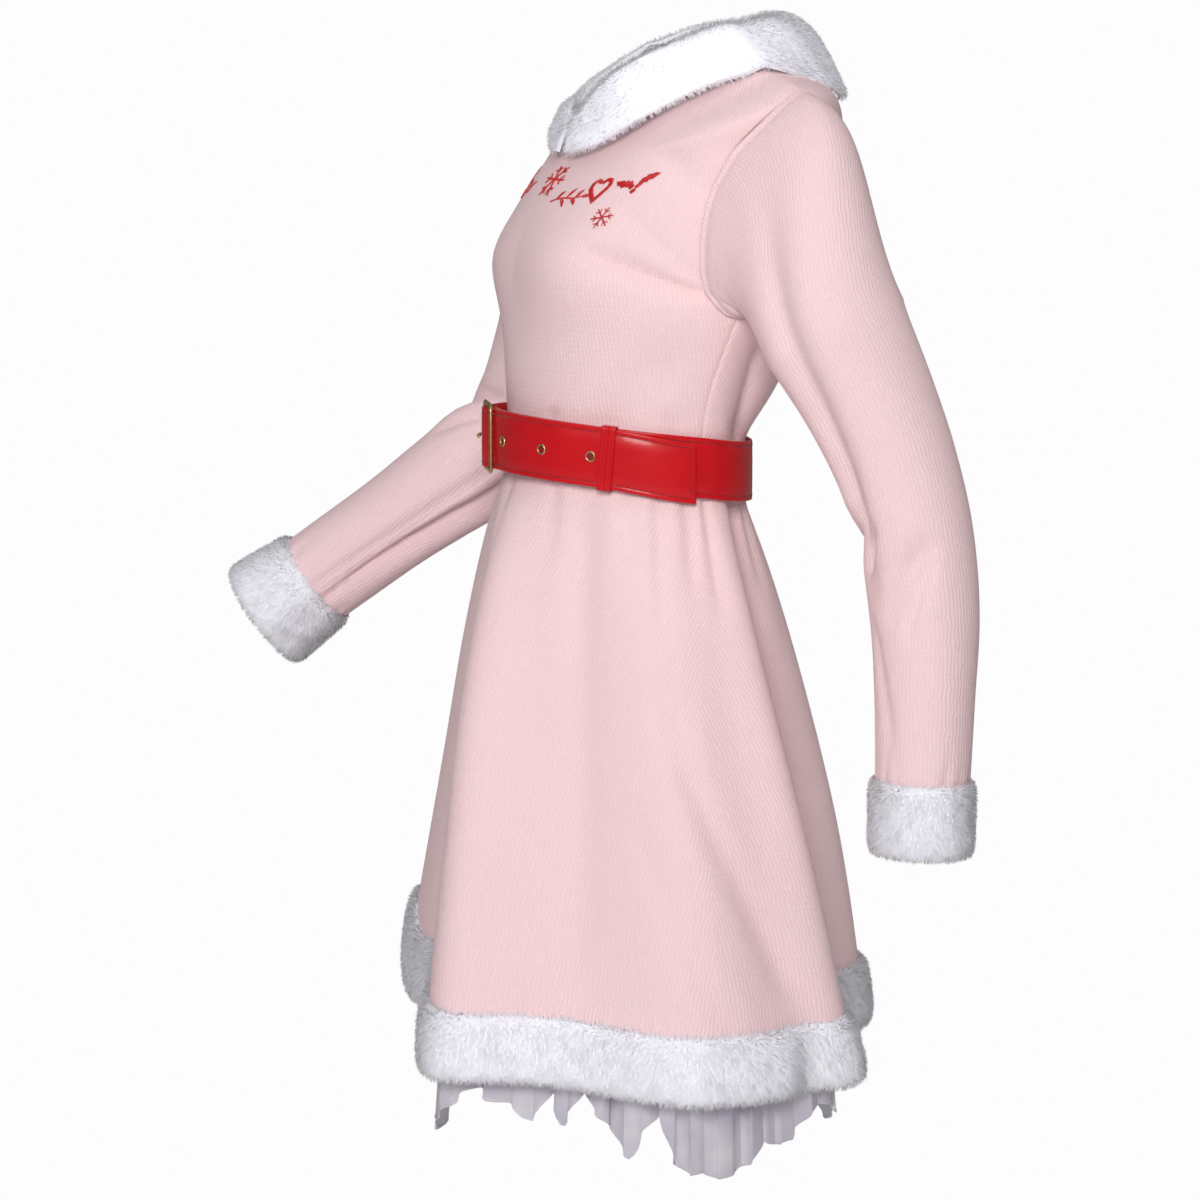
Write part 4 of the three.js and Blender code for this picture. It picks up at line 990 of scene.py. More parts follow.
def belt_look(tree, colour):
    shader = shader_of(tree, Coat_Weight=0.22, Coat_Roughness=0.12, Specular_IOR_Level=0.2)
    drift, base = mottled(tree, colour, 60.0, (0.86, 0.7, 0.8))
    link(tree, base, shader["Base Color"])
    place = tree.nodes.new("ShaderNodeTexCoord").outputs["Object"]
    grain = add_node(tree, "ShaderNodeTexNoise", Vector=place, Scale=900.0, Detail=2.0)
    link(tree, range_of(tree, drift, 0.0, 1.0, 0.26, 0.4), shader["Roughness"])
    bump = tree.nodes.new("ShaderNodeBump")
    bump.inputs["Distance"].default_value = 0.00008
    link(tree, grain, bump.inputs["Height"])
    link(tree, bump.outputs[0], shader["Normal"])


def thread_look(tree, colour):
    shader = shader_of(tree, Roughness=0.5, Sheen_Weight=0.4, Sheen_Roughness=0.3)
    link(tree, mottled(tree, colour, 6.0, (0.7, 0.5, 0.5))[1], shader["Base Color"])


def brass_look(tree, colour):
    shader = shader_of(tree, Metallic=1.0)
    drift = group_node(tree, "Soft Variation", Size=9.0)[0]
    edges = tree.nodes.new("ShaderNodeNewGeometry").outputs["Pointiness"]
    worn = math_of(tree, "ADD", drift, range_of(tree, edges, 0.5, 0.58, 0.0, 0.5))
    base = colour_between(tree, worn, times(colour, 0.4, 0.36, 0.3), colour)
    link(tree, base, shader["Base Color"])
    link(tree, range_of(tree, drift, 0.0, 1.0, 0.45, 0.26), shader["Roughness"])


LOOKS = {
    "fleece": fleece_look,
    "fur": fur_look,
    "pile": pile_look,
    "satin": satin_look,
    "belt": belt_look,
    "thread": thread_look,
    "brass": brass_look,
    # Dark red for the stitches' thread and for the painted shade in the eyelets' holes.
    "hole": thread_look,
}


def look(context, name):
    """The material of that name, made the first time it is asked for."""
    material = bpy.data.materials.get(f"{name}_look")
    if material is None:
        material = bpy.data.materials.new(f"{name}_look")
        material.use_nodes = True
        LOOKS[name](material.node_tree, tuple(getattr(context.scene.costume_colours, name)) + (1.0,))
    return material


# Sheets: the size each was cut to, in metres, and its flat area where it isn't a rectangle.
Cut = namedtuple("Cut", "name width length area held")


# Pieces


def fleece_panel(context, name, grid, normals):
    mesh = cloth_shell(name, grid, FLEECE, False, normals)
    piece = place(name, mesh, look(context, "fleece"), "fleece", [name])


def build_bodice(context):
    below = np.linspace(0, UNDERARM_ROW, 30)[:-1]
    beside = mix(UNDERARM_ROW, SHOULDER_ROW, (1 - np.cos(np.linspace(0, math.pi, 56))) / 2)
    above = np.linspace(SHOULDER_ROW, len(BODICE_RINGS) - 1, 18)[1:]
    rows = np.concatenate([below, beside, above])[:, None]
    panels = (("bodice_front", -90, ARMHOLE_FRONT, 96), ("bodice_back", 90, ARMHOLE_BACK, 80))
    for name, start, widest, columns in panels:
        reach = armhole_reach(rows, widest)
        degrees = mix(start + reach, start + 180 - reach, edged(columns)[None])
        grid = bodice_skin(degrees, rows)
        normals = skin_normals(bodice_skin, degrees, rows, 1)
        grid = roll_in(grid, normals, last=False)
        fleece_panel(context, name, grid, normals)


def build_skirt(context):
    rows = (HEM_ROW * np.concatenate([np.linspace(0, 1, 92)[:-1], [0.992, 0.997, 1]]))[:, None]
    for name, start in (("skirt_front", -90), ("skirt_back", 90)):
        degrees = mix(start, start + 180, edged(140))[None]
        grid = skirt_skin(degrees, rows)
        normals = skin_normals(skirt_skin, degrees, rows, -1)
        grid = roll_in(grid, normals, columns=False)
        fleece_panel(context, name, grid, normals)


def sleeve_skin(table, side, creases, fine, rows, degrees):
    """The sleeve's surface. Rows from -1 to 0 are its cap and those from 0 its sections."""
    cap, body = rows[rows < 0], rows[rows >= 0]
    both = creases + fine
    return np.concatenate([
        cap_point(table, side, degrees[None].repeat(len(cap), 0), (cap + 1)[:, None], both),
        section_point(table, body[:, None].repeat(len(degrees), 1), side, degrees[None], both),
    ])


def cuff_gathers(grid, normals, seed):
    """Small gathers where the sleeve is drawn into the cuff."""
    around = distances(grid, 1)
    down = distances(grid, 0)
    from_cuff = down[-1:] - down
    rng = np.random.default_rng(seed)
    places = np.arange(8, around[-1, -1], 17.0)
    places = places + rng.uniform(-4, 4, len(places))
    depth = np.zeros(grid.shape[:2])
    for place_on, size in zip(places, rng.uniform(0.6, 1.8, len(places))):
        length = 14 + 14 * size
        depth += size * bell(around - place_on, 3.4) * smooth(1 - from_cuff / length)
    return grid - normals * depth[..., None]


def armhole_ridge(grid, normals):
    """A soft ridge runs along the armhole's seam."""
    from_seam = distances(grid, 0)
    return grid + normals * (bell(from_seam - 1.6, 1.5) - 1.3 * bell(from_seam - 6, 3))[..., None]


def build_sleeves(context):
    sides = (
        ("sleeve_left", LEFT_SLEEVE, 1, LEFT_CREASES, FINE_LEFT_CREASES),
        ("sleeve_right", RIGHT_SLEEVE, -1, RIGHT_CREASES, FINE_RIGHT_CREASES),
    )
    for name, table, side, creases, fine in sides:
        seam = [0, 0.008, 0.018, 0.03, 0.045, 0.06, 0.08]
        cap = -1 + np.concatenate([seam, np.linspace(0.105, 1, 20)[:-1]])
        last = float(len(table) - 1)
        body = np.linspace(0, last, 78)[:-1]
        rows = np.concatenate([cap, body, [last - 0.03, last - 0.012, last]])
        degrees = mix(180.0, 540.0, edged(88))
        grid = sleeve_skin(table, side, creases, fine, rows, degrees)
        normals = grid_normals(grid, False)
        grid = roll_in(cuff_gathers(grid, normals, 5), normals, first=False)
        grid = armhole_ridge(grid, normals)
        fleece_panel(context, name, grid, normals)


# Sections of the fur bands: how far down and how far out each point is, as shares.
HEM_SECTION = (
    (0, 0.4), (0.02, 0.6), (0.06, 0.78), (0.14, 0.92), (0.25, 1), (0.4, 1.03), (0.55, 1.02), (0.7, 1),
    (0.82, 0.93), (0.92, 0.8), (0.98, 0.58), (1, 0.35), (0.98, 0.15), (0.94, 0), (0.7, -0.06),
    (0.4, -0.06), (0.1, -0.03), (0, 0),
)
CUFF_SECTION = (
    (0, 0.5), (0.03, 0.72), (0.08, 0.88), (0.18, 0.97), (0.35, 1), (0.55, 1), (0.75, 0.98), (0.9, 0.93),
    (0.97, 0.75), (1, 0.5), (0.995, 0.25), (0.96, 0.06), (0.7, 0), (0.3, 0), (0, 0),
)
# The pile's length, as shares, and its lean in degrees, from the seam to the far edge. In the
# bands the pile stands on the first points of the section.
Fur = namedtuple("Fur", "points lengths leans")
HEM_PILE = Fur(13, (0.75, 1, 1, 1, 1, 1, 1.15), (-25, 10, 34, 44, 50, 55, 60))
CUFF_PILE = Fur(12, (0.75, 1, 1, 1, 1, 0.95, 0.8), (-25, 10, 32, 42, 48, 54, 60))
COLLAR_PILE = Fur(None, (0.6, 0.8, 1, 1, 1, 1.05, 1.1), (55, 50, 42, 40, 44, 50, 60))
# How much of the pile's length stands out of the base, as a share.
BAND_PILE_OUT, COLLAR_PILE_OUT = 0.45, 0.42


def fur_band(context, name, stations, closed, fur, hairs, length, seed):
    """A band of fur: a padded base inside the solid's form, and the pile that stands on it."""
    mesh = swept_mesh(name, stations, closed)
    # Painted shade: the base under the pile takes a deeper colour, as the hairs shade it.
    set_attribute(mesh, "tone", "FLOAT", np.full(len(mesh.vertices), 0.45))
    base = place(name, mesh, look(context, "fur"), "fur", [name])
    skin = stations[:, :fur.points].transpose(1, 0, 2)
    if closed:
        skin = np.concatenate([skin, skin[:, :1]], 1)
    normals = grid_normals(skin, False)
    width = context.scene.costume_sizes.hair_width
    lengths = np.array(fur.lengths) * length
    coat = pile(f"{name}_pile", skin, normals, hairs, lengths, fur.leans, width, seed)
    coat = place(f"{name}_pile", coat, look(context, "pile"), "fur")


def build_fur_hem(context):
    sizes = context.scene.costume_sizes
    seam = seam_angle(np.array(0.0))
    for name, start, seed in (("fur_hem_front", -90, 11), ("fur_hem_back", 90, 12)):
        degrees = mix(start + seam, start + 180 - seam, np.linspace(0, 1, 260))
        row = np.full_like(degrees, HEM_ROW)
        here = skirt_skin(degrees, row)
        along = unit(skirt_skin(degrees + 1, row) - skirt_skin(degrees - 1, row))
        down = unit(here - skirt_skin(degrees, row - 0.5))
        out = unit(np.cross(down, along))
        facing = (out * outward(row_at(SKIRT_RINGS, row), here)).sum(-1, keepdims=True)
        out = out * np.where(facing < 0, -1, 1)
        height = HEM_HEIGHT - 4
        thick = HEM_FUR - sizes.hem_pile * BAND_PILE_OUT
        stations = np.stack([
            here + down * (d * height) + out * (o * thick - HEM_INSET) for d, o in HEM_SECTION
        ], 1)
        fur_band(context, name, stations, False, HEM_PILE, sizes.hem_hairs, sizes.hem_pile, seed)


def build_cuffs(context):
    sizes = context.scene.costume_sizes
    cuffs = (
        ("cuff_left", LEFT_SLEEVE, 1, LEFT_CREASES, 1, 21),
        ("cuff_right", RIGHT_SLEEVE, -1, RIGHT_CREASES, 7, 22),
    )
    for name, table, side, creases, flare, seed in cuffs:
        last = np.array(float(len(table) - 1))
        degrees = np.linspace(0, 360, 161)[:-1]
        axis, _, _ = section_frame(table, last, side)
        edge = section_point(table, np.full_like(degrees, last), side, degrees, creases)
        out = unit(edge - section_centre(table, last))
        height = CUFF_HEIGHT - 3
        thick = CUFF_FUR - sizes.cuff_pile * BAND_PILE_OUT
        stations = np.stack([
            edge + axis * (d * height) + out * (o * thick - CUFF_INSET + flare * d)
            for d, o in CUFF_SECTION
        ], 1)
        fur_band(context, name, stations, True, CUFF_PILE, sizes.cuff_hairs, sizes.cuff_pile, seed)


def build_collar(context):
    sizes = context.scene.costume_sizes
    degrees = mix(COLLAR_NOTCH, 360 - COLLAR_NOTCH, edged(150, (0.002, 0.006)))[None]
    rows = np.linspace(0, len(COLLAR_RINGS) - 1, 40)[:, None]
    degrees, rows = np.broadcast_arrays(degrees, rows)
    skin = collar_point(degrees, rows)
    around, along = np.gradient(skin, axis=1), np.gradient(skin, axis=0)
    normals = -unit(np.cross(around, along))
    rise = ripples(skin, 31, 60) * 1.2 * smooth(rows / 2)
    depth = sizes.collar_pile * COLLAR_PILE_OUT
    base = skin - normals * (depth - rise)[..., None]
    mesh = cloth_shell("collar", base, COLLAR_THICKNESS - depth, False, normals)
    # Painted shade: the collar's base under the pile takes a deeper colour, as the hairs shade it.
    set_attribute(mesh, "tone", "FLOAT", np.full(len(mesh.vertices), 0.5))
    collar = place("collar", mesh, look(context, "fur"), "fur", ["collar"])
    hang = unit(base[-1] - base[-2])
    under = base[-1] - normals[-1] * (COLLAR_THICKNESS - depth) * 0.8
    skin = np.concatenate([base, [(base[-1] + under) / 2 + hang * 0.5], [under]])
    ways = np.concatenate([normals, [unit(normals[-1] + hang * 2)], [unit(hang * 2 - normals[-1])]])
    shading = unit(np.concatenate([normals, normals[-1:], normals[-1:]]) + (0, 0, PILE_LIFT))
    lengths, leans = np.array(COLLAR_PILE.lengths) * sizes.collar_pile, COLLAR_PILE.leans
    coat = pile("collar_pile", skin, ways, sizes.collar_hairs, lengths, leans, sizes.hair_width, 33, shading)
    coat = place("collar_pile", coat, look(context, "pile"), "fur")


# Folds pressed into the ruffle by the fur above it.
RuffleFold = namedtuple("RuffleFold", "name from_angle to_angle depth spread")
RUFFLE_FOLDS = (
    RuffleFold("left strip", 2, 1, 9, 1.6),
    RuffleFold("left gather", 8, 11, 5, 1.3),
    RuffleFold("lobe fold", 29, 27, 6, 1.2),
    RuffleFold("triangle fold", 42, 42, 5, 1.4),
    RuffleFold("triangle crease", 53, 52, 5, 1.1),
    RuffleFold("behind the triangle", 60, 61, 9, 1.6),
    RuffleFold("panel fold", 72, 74, 9, 1.2),
    RuffleFold("flap edge", 84, 78, 8, 1.5),
    RuffleFold("flap", 92, 90, 4, 2.2),
    RuffleFold("curl", 100, 98, 8, 1.3),
    RuffleFold("curl two", 108, 111, 6, 1.2),
    RuffleFold("back gather", 122, 122, 6, 1.1),
    RuffleFold("back gather two", 127, 128, 6, 1.1),
    RuffleFold("back fold one", 143, 146, 8, 1.6),
    RuffleFold("back fold two", 160, 157, 7, 1.4),
    RuffleFold("back fold three", 178, 178, 8, 1.5),
    RuffleFold("back fold four", -164, -161, 7, 1.4),
    RuffleFold("back fold five", -143, -145, 8, 1.6),
    RuffleFold("far fold one", -122, -119, 7, 1.3),
    RuffleFold("far fold two", -103, -106, 8, 1.6),
    RuffleFold("far fold three", -86, -83, 7, 1.3),
    RuffleFold("far fold four", -66, -67, 8, 1.5),
    RuffleFold("far fold five", -48, -44, 7, 1.4),
    RuffleFold("far fold six", -28, -30, 7, 1.3),
    RuffleFold("front fold", -11, -9, 8, 1.5),
)
RUFFLE_FOLD_ROWS = (4, 9)
RUFFLE_CREASES = tuple(Crease(fold.name, *RUFFLE_FOLD_ROWS, *fold[1:]) for fold in RUFFLE_FOLDS)

# The petticoat's hem hangs in uneven points: how far down each place hangs, in rows.
PETTICOAT_POINTS = (
    (-177, 0.02), (-168, -0.45), (-160, 0.08), (-151, -0.38), (-142, 0.0), (-134, -0.42), (-125, 0.05),
    (-117, -0.36), (-108, 0.08), (-98, -0.4), (-90, 0.02), (-81, -0.42), (-72, 0.06), (-63, -0.35),
    (-54, 0.0), (-46, -0.4), (-37, 0.04), (-29, -0.4), (-20, -0.05), (-11, -0.35), (-2, 0.0), (9, 0.27),
    (18, -0.16), (27, -0.62), (36, -0.3), (39, -0.3), (42, -0.56), (46, -0.28), (52, -0.65), (60, -0.32),
    (67, -0.06), (75, -0.62), (79, -0.04), (84, 0.04), (90, 0.12), (97, 0.12), (102, -0.07),
    (107, -0.18), (114, -0.16), (119, -0.47), (127, -0.45), (136, -0.1), (144, -0.42), (152, 0.0),
    (160, -0.38), (169, 0.05), (176, -0.38),
)


def ruffle_length(degrees):
    angles, rows = np.array(PETTICOAT_POINTS).T
    return np.interp(degrees, angles, rows, period=360)


def petticoat_point(degrees, row, inset):
    ring = row_at(SKIRT_RINGS, row)
    point = skirt_skin(degrees, row)
    return point - outward(ring, point) * inset[..., None]


def wave_rise(phase):
    """The rise of the ruffle's waves, each of its own size."""
    size = 0.7 + 0.3 * np.sin(phase * 2.4 * 2 * math.pi / 5)
    return np.sin(phase * 2 * math.pi) * size


def build_petticoat_top(context):
    degrees = np.linspace(-180, 180, 181)[None, :-1]
    rows = np.linspace(0.12, PETTICOAT_SPLIT_ROW, 40)[:, None]
    degrees, rows = np.broadcast_arrays(degrees, rows)
    gathers = 1.1 * np.sin(np.radians(degrees * 45)) * smooth(1 - rows / 2.6)
    inset = FLEECE + 0.4 + PETTICOAT_INSET * smooth(rows / 1.6) + 1.1 - gathers * smooth(rows / 0.4)
    grid = petticoat_point(degrees, rows, inset)
    mesh = cloth_shell("petticoat_top", grid, SATIN, True)
    top = place("petticoat_top", mesh, look(context, "satin"), "satin", ["petticoat_top"])


def ruffle_grid(context):
    phase = np.arange(RUFFLE_WAVES * POINTS_PER_WAVE)[None] / POINTS_PER_WAVE
    rows = np.linspace(PETTICOAT_SPLIT_ROW + 0.02, PETTICOAT_END_ROW, 26)[:, None]
    phase, rows = np.broadcast_arrays(phase, rows)
    grown = smooth((rows - PETTICOAT_SPLIT_ROW) / 1.6)
    hang = (rows - PETTICOAT_SPLIT_ROW) / (PETTICOAT_END_ROW - PETTICOAT_SPLIT_ROW)
    rise = wave_rise(phase) * mix(1.2, context.scene.costume_sizes.ruffle_depth, grown)
    degrees = -180 + 360 * phase / RUFFLE_WAVES
    fan = 0.8 * np.sin(phase * 4 * math.pi + np.sin(phase * 1.7)) * grown
    longer = hang * (0.04 * wave_rise(phase) + ruffle_length(degrees))
    pressed = grown * creases_at(RUFFLE_CREASES, rows, degrees)
    inset = mix(FLEECE + PETTICOAT_INSET, RUFFLE_INSET, grown) + pressed
    return petticoat_point(degrees + fan, rows + longer, inset - rise)


def build_ruffle(context):
    satin = look(context, "satin")
    grid = ruffle_grid(context)
    name = "petticoat_ruffle"
    ruffle = place(name, cloth_shell(name, grid, RUFFLE_SATIN, True), satin, "satin", [name])
    edge = grid[-1]
    along = unit(np.roll(edge, -1, 0) - np.roll(edge, 1, 0))
    up = unit(grid[-2] - edge)
    out = np.cross(along, up)
    c, s = np.cos(full_turn(8))[None, :, None], np.sin(full_turn(8))[None, :, None]
    ring = up[:, None] * c * HEM_ROLL_HALF_HEIGHT + out[:, None] * s * HEM_ROLL_HALF_DEPTH
    hem = swept_mesh("petticoat_hem", (edge - out * 0.3)[:, None] + up[:, None] * 1.0 + ring, True)
    set_attribute(hem, "cloth", "FLOAT_VECTOR", np.zeros((len(hem.vertices), 3)))
    hem = place("petticoat_hem", hem, satin, "satin")


def strap_outline():
    """The strap's section: how far out and up each point is. A groove runs along each row of
    stitches, and the edges are rounded."""
    half, thick = BELT_WIDTH / 2, BELT_THICKNESS
    groove = half - STITCH_INSET
    outer = [
        (thick - 1.1, half), (thick - 0.5, half - 0.12), (thick - 0.12, half - 0.5), (thick, half - 1.3),
        (thick, groove + 1), (thick - 0.3, groove + 0.35), (thick - 0.3, groove - 0.35), (thick, groove - 1),
        (thick + 0.12, groove / 2), (thick + 0.15, 0.0),
    ]
    mirrored = [(o, -u) for o, u in reversed(outer[:-1])]
    inner = [(0.3, -half), (0, -half + 0.4), (0, half - 0.4), (0.3, half)]
    return np.array(outer + mirrored + inner)


def strap_place(angle, out, up):
    """A place on the strap, by the angle along its route and the way out and up from it."""
    angle, out, up = np.broadcast_arrays(np.asarray(angle, float), out, up)
    return belt_point(angle, strap_lift(angle) + out, up - strap_droop(angle))


def stitches_along(angle, up, lift, pitch):
    """Starts, ends and outward directions of a row of stitches, from places on the strap."""
    path = strap_place(angle, BELT_THICKNESS + lift, up)
    outs = strap_place(angle, BELT_THICKNESS + 1, up) - path
    length = pitch * STITCH_SHARE
    along = path_lengths(path)
    starts = np.arange(pitch / 2, along[-1] - length, pitch)
    ends = path_values(path, along, starts + length)
    return path_values(path, along, starts), ends, unit(path_values(outs, along, starts))


def build_strap(context):
    angles = np.concatenate([
        np.arange(STRAP_START, STRAP_TURN, STRAP_STEP),
        np.arange(STRAP_TURN, STRAP_FLAT, STRAP_TURN_STEP),
        np.arange(STRAP_FLAT, STRAP_END, STRAP_STEP),
        [STRAP_END - 0.35],
    ])
    outline = strap_outline()
    stations = strap_place(angles[:, None], outline[None, :, 0], outline[None, :, 1])
    closing = strap_place(STRAP_END, outline[:, 0] * 0.7 + 0.35, outline[:, 1] * 0.985)
    mesh = swept_mesh("belt_strap", np.concatenate([stations, closing[None]]), False)
    place("belt_strap", mesh, look(context, "belt"), "belt_red", ["belt_strap"])


def build_stitches(context):
    pitch = context.scene.costume_sizes.stitch_pitch
    edge = BELT_WIDTH / 2 - STITCH_INSET
    last = STRAP_END - STITCH_END
    span = np.arange(STRAP_START + 2, last, STRAP_TURN_STEP)
    rows = [stitches_along(span, up, -0.1, pitch) for up in (edge, -edge)]
    rows.append(stitches_along(last, np.linspace(edge, -edge, 30), 0.1, pitch))
    starts, ends, outs = (np.concatenate(parts) for parts in zip(*rows))
    mesh = threads("belt_stitches", starts, ends, outs, STITCH_RADIUS, STITCH_RISE)
    place("belt_stitches", mesh, look(context, "hole"), "belt_red")


def build_keeper(context):
    origin, along, up, out = belt_frame(KEEPER_ANGLE, 0)
    half, high = BELT_WIDTH / 2 + 1.8, 2 * BELT_THICKNESS + 2.7
    loop = arc_spaced(np.array([
        (-1.0, -half), (high - 1.4, -half), (high - 0.4, -half + 0.5), (high, -half + 1.6), (high + 0.2, 0),
        (high, half - 1.6), (high - 0.4, half - 0.5), (high - 1.4, half), (-1.0, half),
    ]), 72)
    middle = loop.mean(0)
    wide, thick = KEEPER_WIDTH / 2, 1.4
    near = [(wide, 1.0), (wide - 0.6, thick), (wide - 2.2, thick), (wide - 2.6, 1.15), (wide - 3.0, thick)]
    far = [(-a, t) for a, t in reversed(near)]
    inner = [(-wide, 0.4), (-wide + 0.4, 0), (wide - 0.4, 0), (wide, 0.4)]
    section = [*inner, *near, (0.4, 1.45), (0, 1.0), (-0.4, 1.45), *far]
    stations = []
    for o, u in loop:
        away = unit(np.array([o - middle[0], (u - middle[1]) * (high / half)]))
        square = np.sign(away) * np.abs(away) ** 0.5
        stations.append([
            origin + along * a + up * (u + square[1] * (t - thick)) + out * (o + square[0] * (t - thick))
            for a, t in section
        ])
    keeper = swept_mesh("belt_keeper", np.array(stations), True)
    place("belt_keeper", keeper, look(context, "belt"), "belt_red", ["belt_keeper"])


def tube(name, path, outs, ups, radii, closed, sides=12):
    """A round bar along a path, radii giving its half thickness out and up at each place."""
    turns = full_turn(sides)
    c, s = np.cos(turns)[None, :, None], np.sin(turns)[None, :, None]
    radii = np.broadcast_to(radii, (len(path), 2))
    ring = outs[:, None] * s * radii[:, 0, None, None] + ups[:, None] * c * radii[:, 1, None, None]
    return swept_mesh(name, path[:, None] + ring, closed)


def rounded_rectangle(half_wide, half_high, radius, steps):
    """A rounded rectangle's outline and the direction away from its middle at each point."""
    points, aways = [], []
    for i, (x, y) in enumerate(((1, 1), (-1, 1), (-1, -1), (1, -1))):
        for turn in np.radians(np.linspace(0, 90, steps) + 90 * i):
            away = np.array([math.cos(turn), math.sin(turn)])
            points.append(np.array([x * (half_wide - radius), y * (half_high - radius)]) + away * radius)
            aways.append(away)
    return np.array(points), np.array(aways)


def build_buckle(context):
    brass = look(context, "brass")
    origin, along, up, out = belt_frame(BUCKLE_ANGLE, BUCKLE_OUT)
    wire = BUCKLE_WIRE / 2
    half_wide, half_high = BUCKLE_WIDTH / 2 - wire, BUCKLE_HEIGHT / 2 - wire
    points, aways = rounded_rectangle(half_wide, half_high, BUCKLE_CORNER, 8)
    path = origin + points[:, :1] * along + points[:, 1:] * up
    sideways = aways[:, :1] * along + aways[:, 1:] * up
    outs = np.broadcast_to(out, path.shape)
    mesh = tube("buckle_frame", path, outs, sideways, (wire * 0.86, wire), True, 14)
    place("buckle_frame", mesh, brass, "brass", ["buckle_frame"])

    reach = BUCKLE_HEIGHT / 2 - BUCKLE_WIRE - SEAM_GAP
    path = origin + up * np.linspace(-1, 1, 12)[:, None] * reach
    outs, sideways = np.broadcast_to(out, path.shape), np.broadcast_to(along, path.shape)
    mesh = tube("buckle_bar", path, outs, sideways, (wire - 0.3, wire - 0.3), False)
    place("buckle_bar", mesh, brass, "brass", ["buckle_bar"])

    shares = np.linspace(0, 1, 24)
    reach = mix(PRONG_START, -BUCKLE_WIDTH / 2 - PRONG_PAST, shares)[:, None]
    height = mix(PRONG_OUT, PRONG_TIP_OUT, shares**1.15) + 0.25 * np.sin(shares * math.pi)
    path = origin + along * reach + out * height[:, None]
    width = np.interp(shares, [0, 0.08, 0.7, 0.93, 1], [1.2, 1.75, 1.65, 1.35, 0.5])
    radii = np.stack([width * 0.9, width], -1)
    outs, ups = np.broadcast_to(out, path.shape), np.broadcast_to(up, path.shape)
    mesh = tube("buckle_prong", path, outs, ups, radii, False)
    place("buckle_prong", mesh, brass, "brass", ["buckle_prong"])


def build_eyelets(context):
    brass, hole = look(context, "brass"), look(context, "hole")
    profile = np.array(EYELET_PROFILE)
    turns = full_turn(32)
    for i, angle in enumerate(EYELET_ANGLES):
        offset = float(strap_lift(np.array(float(angle)))) + BELT_THICKNESS
        origin, along, up, out = belt_frame(angle, offset)
        rays = along * np.cos(turns)[:, None] + up * np.sin(turns)[:, None]
        stations = origin + rays[:, None] * profile[None, :, :1] + out * profile[None, :, 1:]
        name = f"eyelet_{i + 1}"
        place(name, swept_mesh(name, stations, True), brass, "brass", [name])
        # Painted shade: a dark red disc fills each eyelet's hole, where its shade falls.
        disc = np.stack([origin + rays * 0.05 + out * 0.2, origin + rays * 3.1 + out * 0.28], 1)
        low = disc - out * 0.12
        stations = np.concatenate([disc, low[:, ::-1]], 1)
        place(f"{name}_hole", swept_mesh(f"{name}_hole", stations, True), hole, "belt_red")


# Embroidery: strokes of satin stitch. Each is a path, in millimetres, with its widths along it.


def turned(points, degrees, size=1.0, at=(0.0, 0.0)):
    a = math.radians(degrees)
    spin = np.array([[math.cos(a), math.sin(a)], [-math.sin(a), math.cos(a)]])
    return np.asarray(points, float) @ spin * size + np.asarray(at)


def snowflake():
    strokes = []
    for turn in range(0, 360, 60):
        strokes.append((turned([(0.8, 0), (10, 0)], turn), [1.5, 1.5, 1.2]))
        for side in (-1, 1):
            strokes.append((turned([(5.2, 0), (7.8, side * 2.6)], turn), [1.1, 1.2]))
    return strokes


def heart():
    left = [(0.4, -7.5), (-3.0, -3.4), (-5.4, 0.2), (-5.2, 3.6), (-2.8, 4.8), (-0.3, 2.8)]
    widths = [2.2, 2.6, 2.6, 2.6, 2.2]
    return [(left, widths), ([(-x, y) for x, y in left], widths)]


def sprig():
    stem = [(-14, -6), (-8, -3.2), (-1, -1.4), (6, -0.6), (13, 1.4)]
    strokes = [(stem, [1.1, 1.3, 1.3, 1.1])]
    leaves = (
        (-9, -3.2, 55, 1), (-4.5, -2.2, -38, 1.05), (0.5, -1, 62, 1.1), (5, -0.4, -32, 1),
        (8.5, 0.4, 58, 0.9), (13, 1.6, 8, 0.9),
    )
    for x, y, turn, size in leaves:
        leaf = turned([(0.6, 0), (3.6, 0.5), (7.4, 0)], turn, size, (x, y))
        strokes.append((leaf, [0.6, 2.6, 3.1, 2.2, 0.5]))
    return strokes


def holly():
    strokes = []
    for turn, size in ((18, 1.0), (162, 1.0)):
        leaf = turned([(2.2, 0), (8, 0.8), (14.5, 0)], turn, size)
        strokes.append((leaf, [1.0, 5.6, 3.6, 6.4, 3.8, 5.0, 2.6, 0.5]))
    for x, y in ((-2.1, -1.2), (2.1, -1.2), (0, -4.4)):
        strokes.append(([(x - 1.7, y), (x + 1.7, y)], [0.6, 3.0, 3.6, 3.0, 0.6]))
    return strokes


# Where each motif sits on the bodice: the angle, the row up it, a turn and a size.
Motif = namedtuple("Motif", "name angle row turn size")
MOTIFS = (
    Motif("snowflake", 3, 5.75, 0, 1.7),
    Motif("sprig", 18, 5.25, -6, 1.35),
    Motif("heart", 30, 5.5, 5, 1.7),
    Motif("snowflake", 37, 4.8, 12, 0.95),
    Motif("holly", 43, 5.55, 8, 1.35),
    Motif("sprig", -18, 5.25, 186, 1.35),
    Motif("heart", -30, 5.5, -5, 1.7),
    Motif("snowflake", -37, 4.8, -12, 0.95),
    Motif("holly", -43, 5.55, -8, 1.35),
)
MOTIF_SHAPES = {"snowflake": snowflake, "heart": heart, "sprig": sprig, "holly": holly}


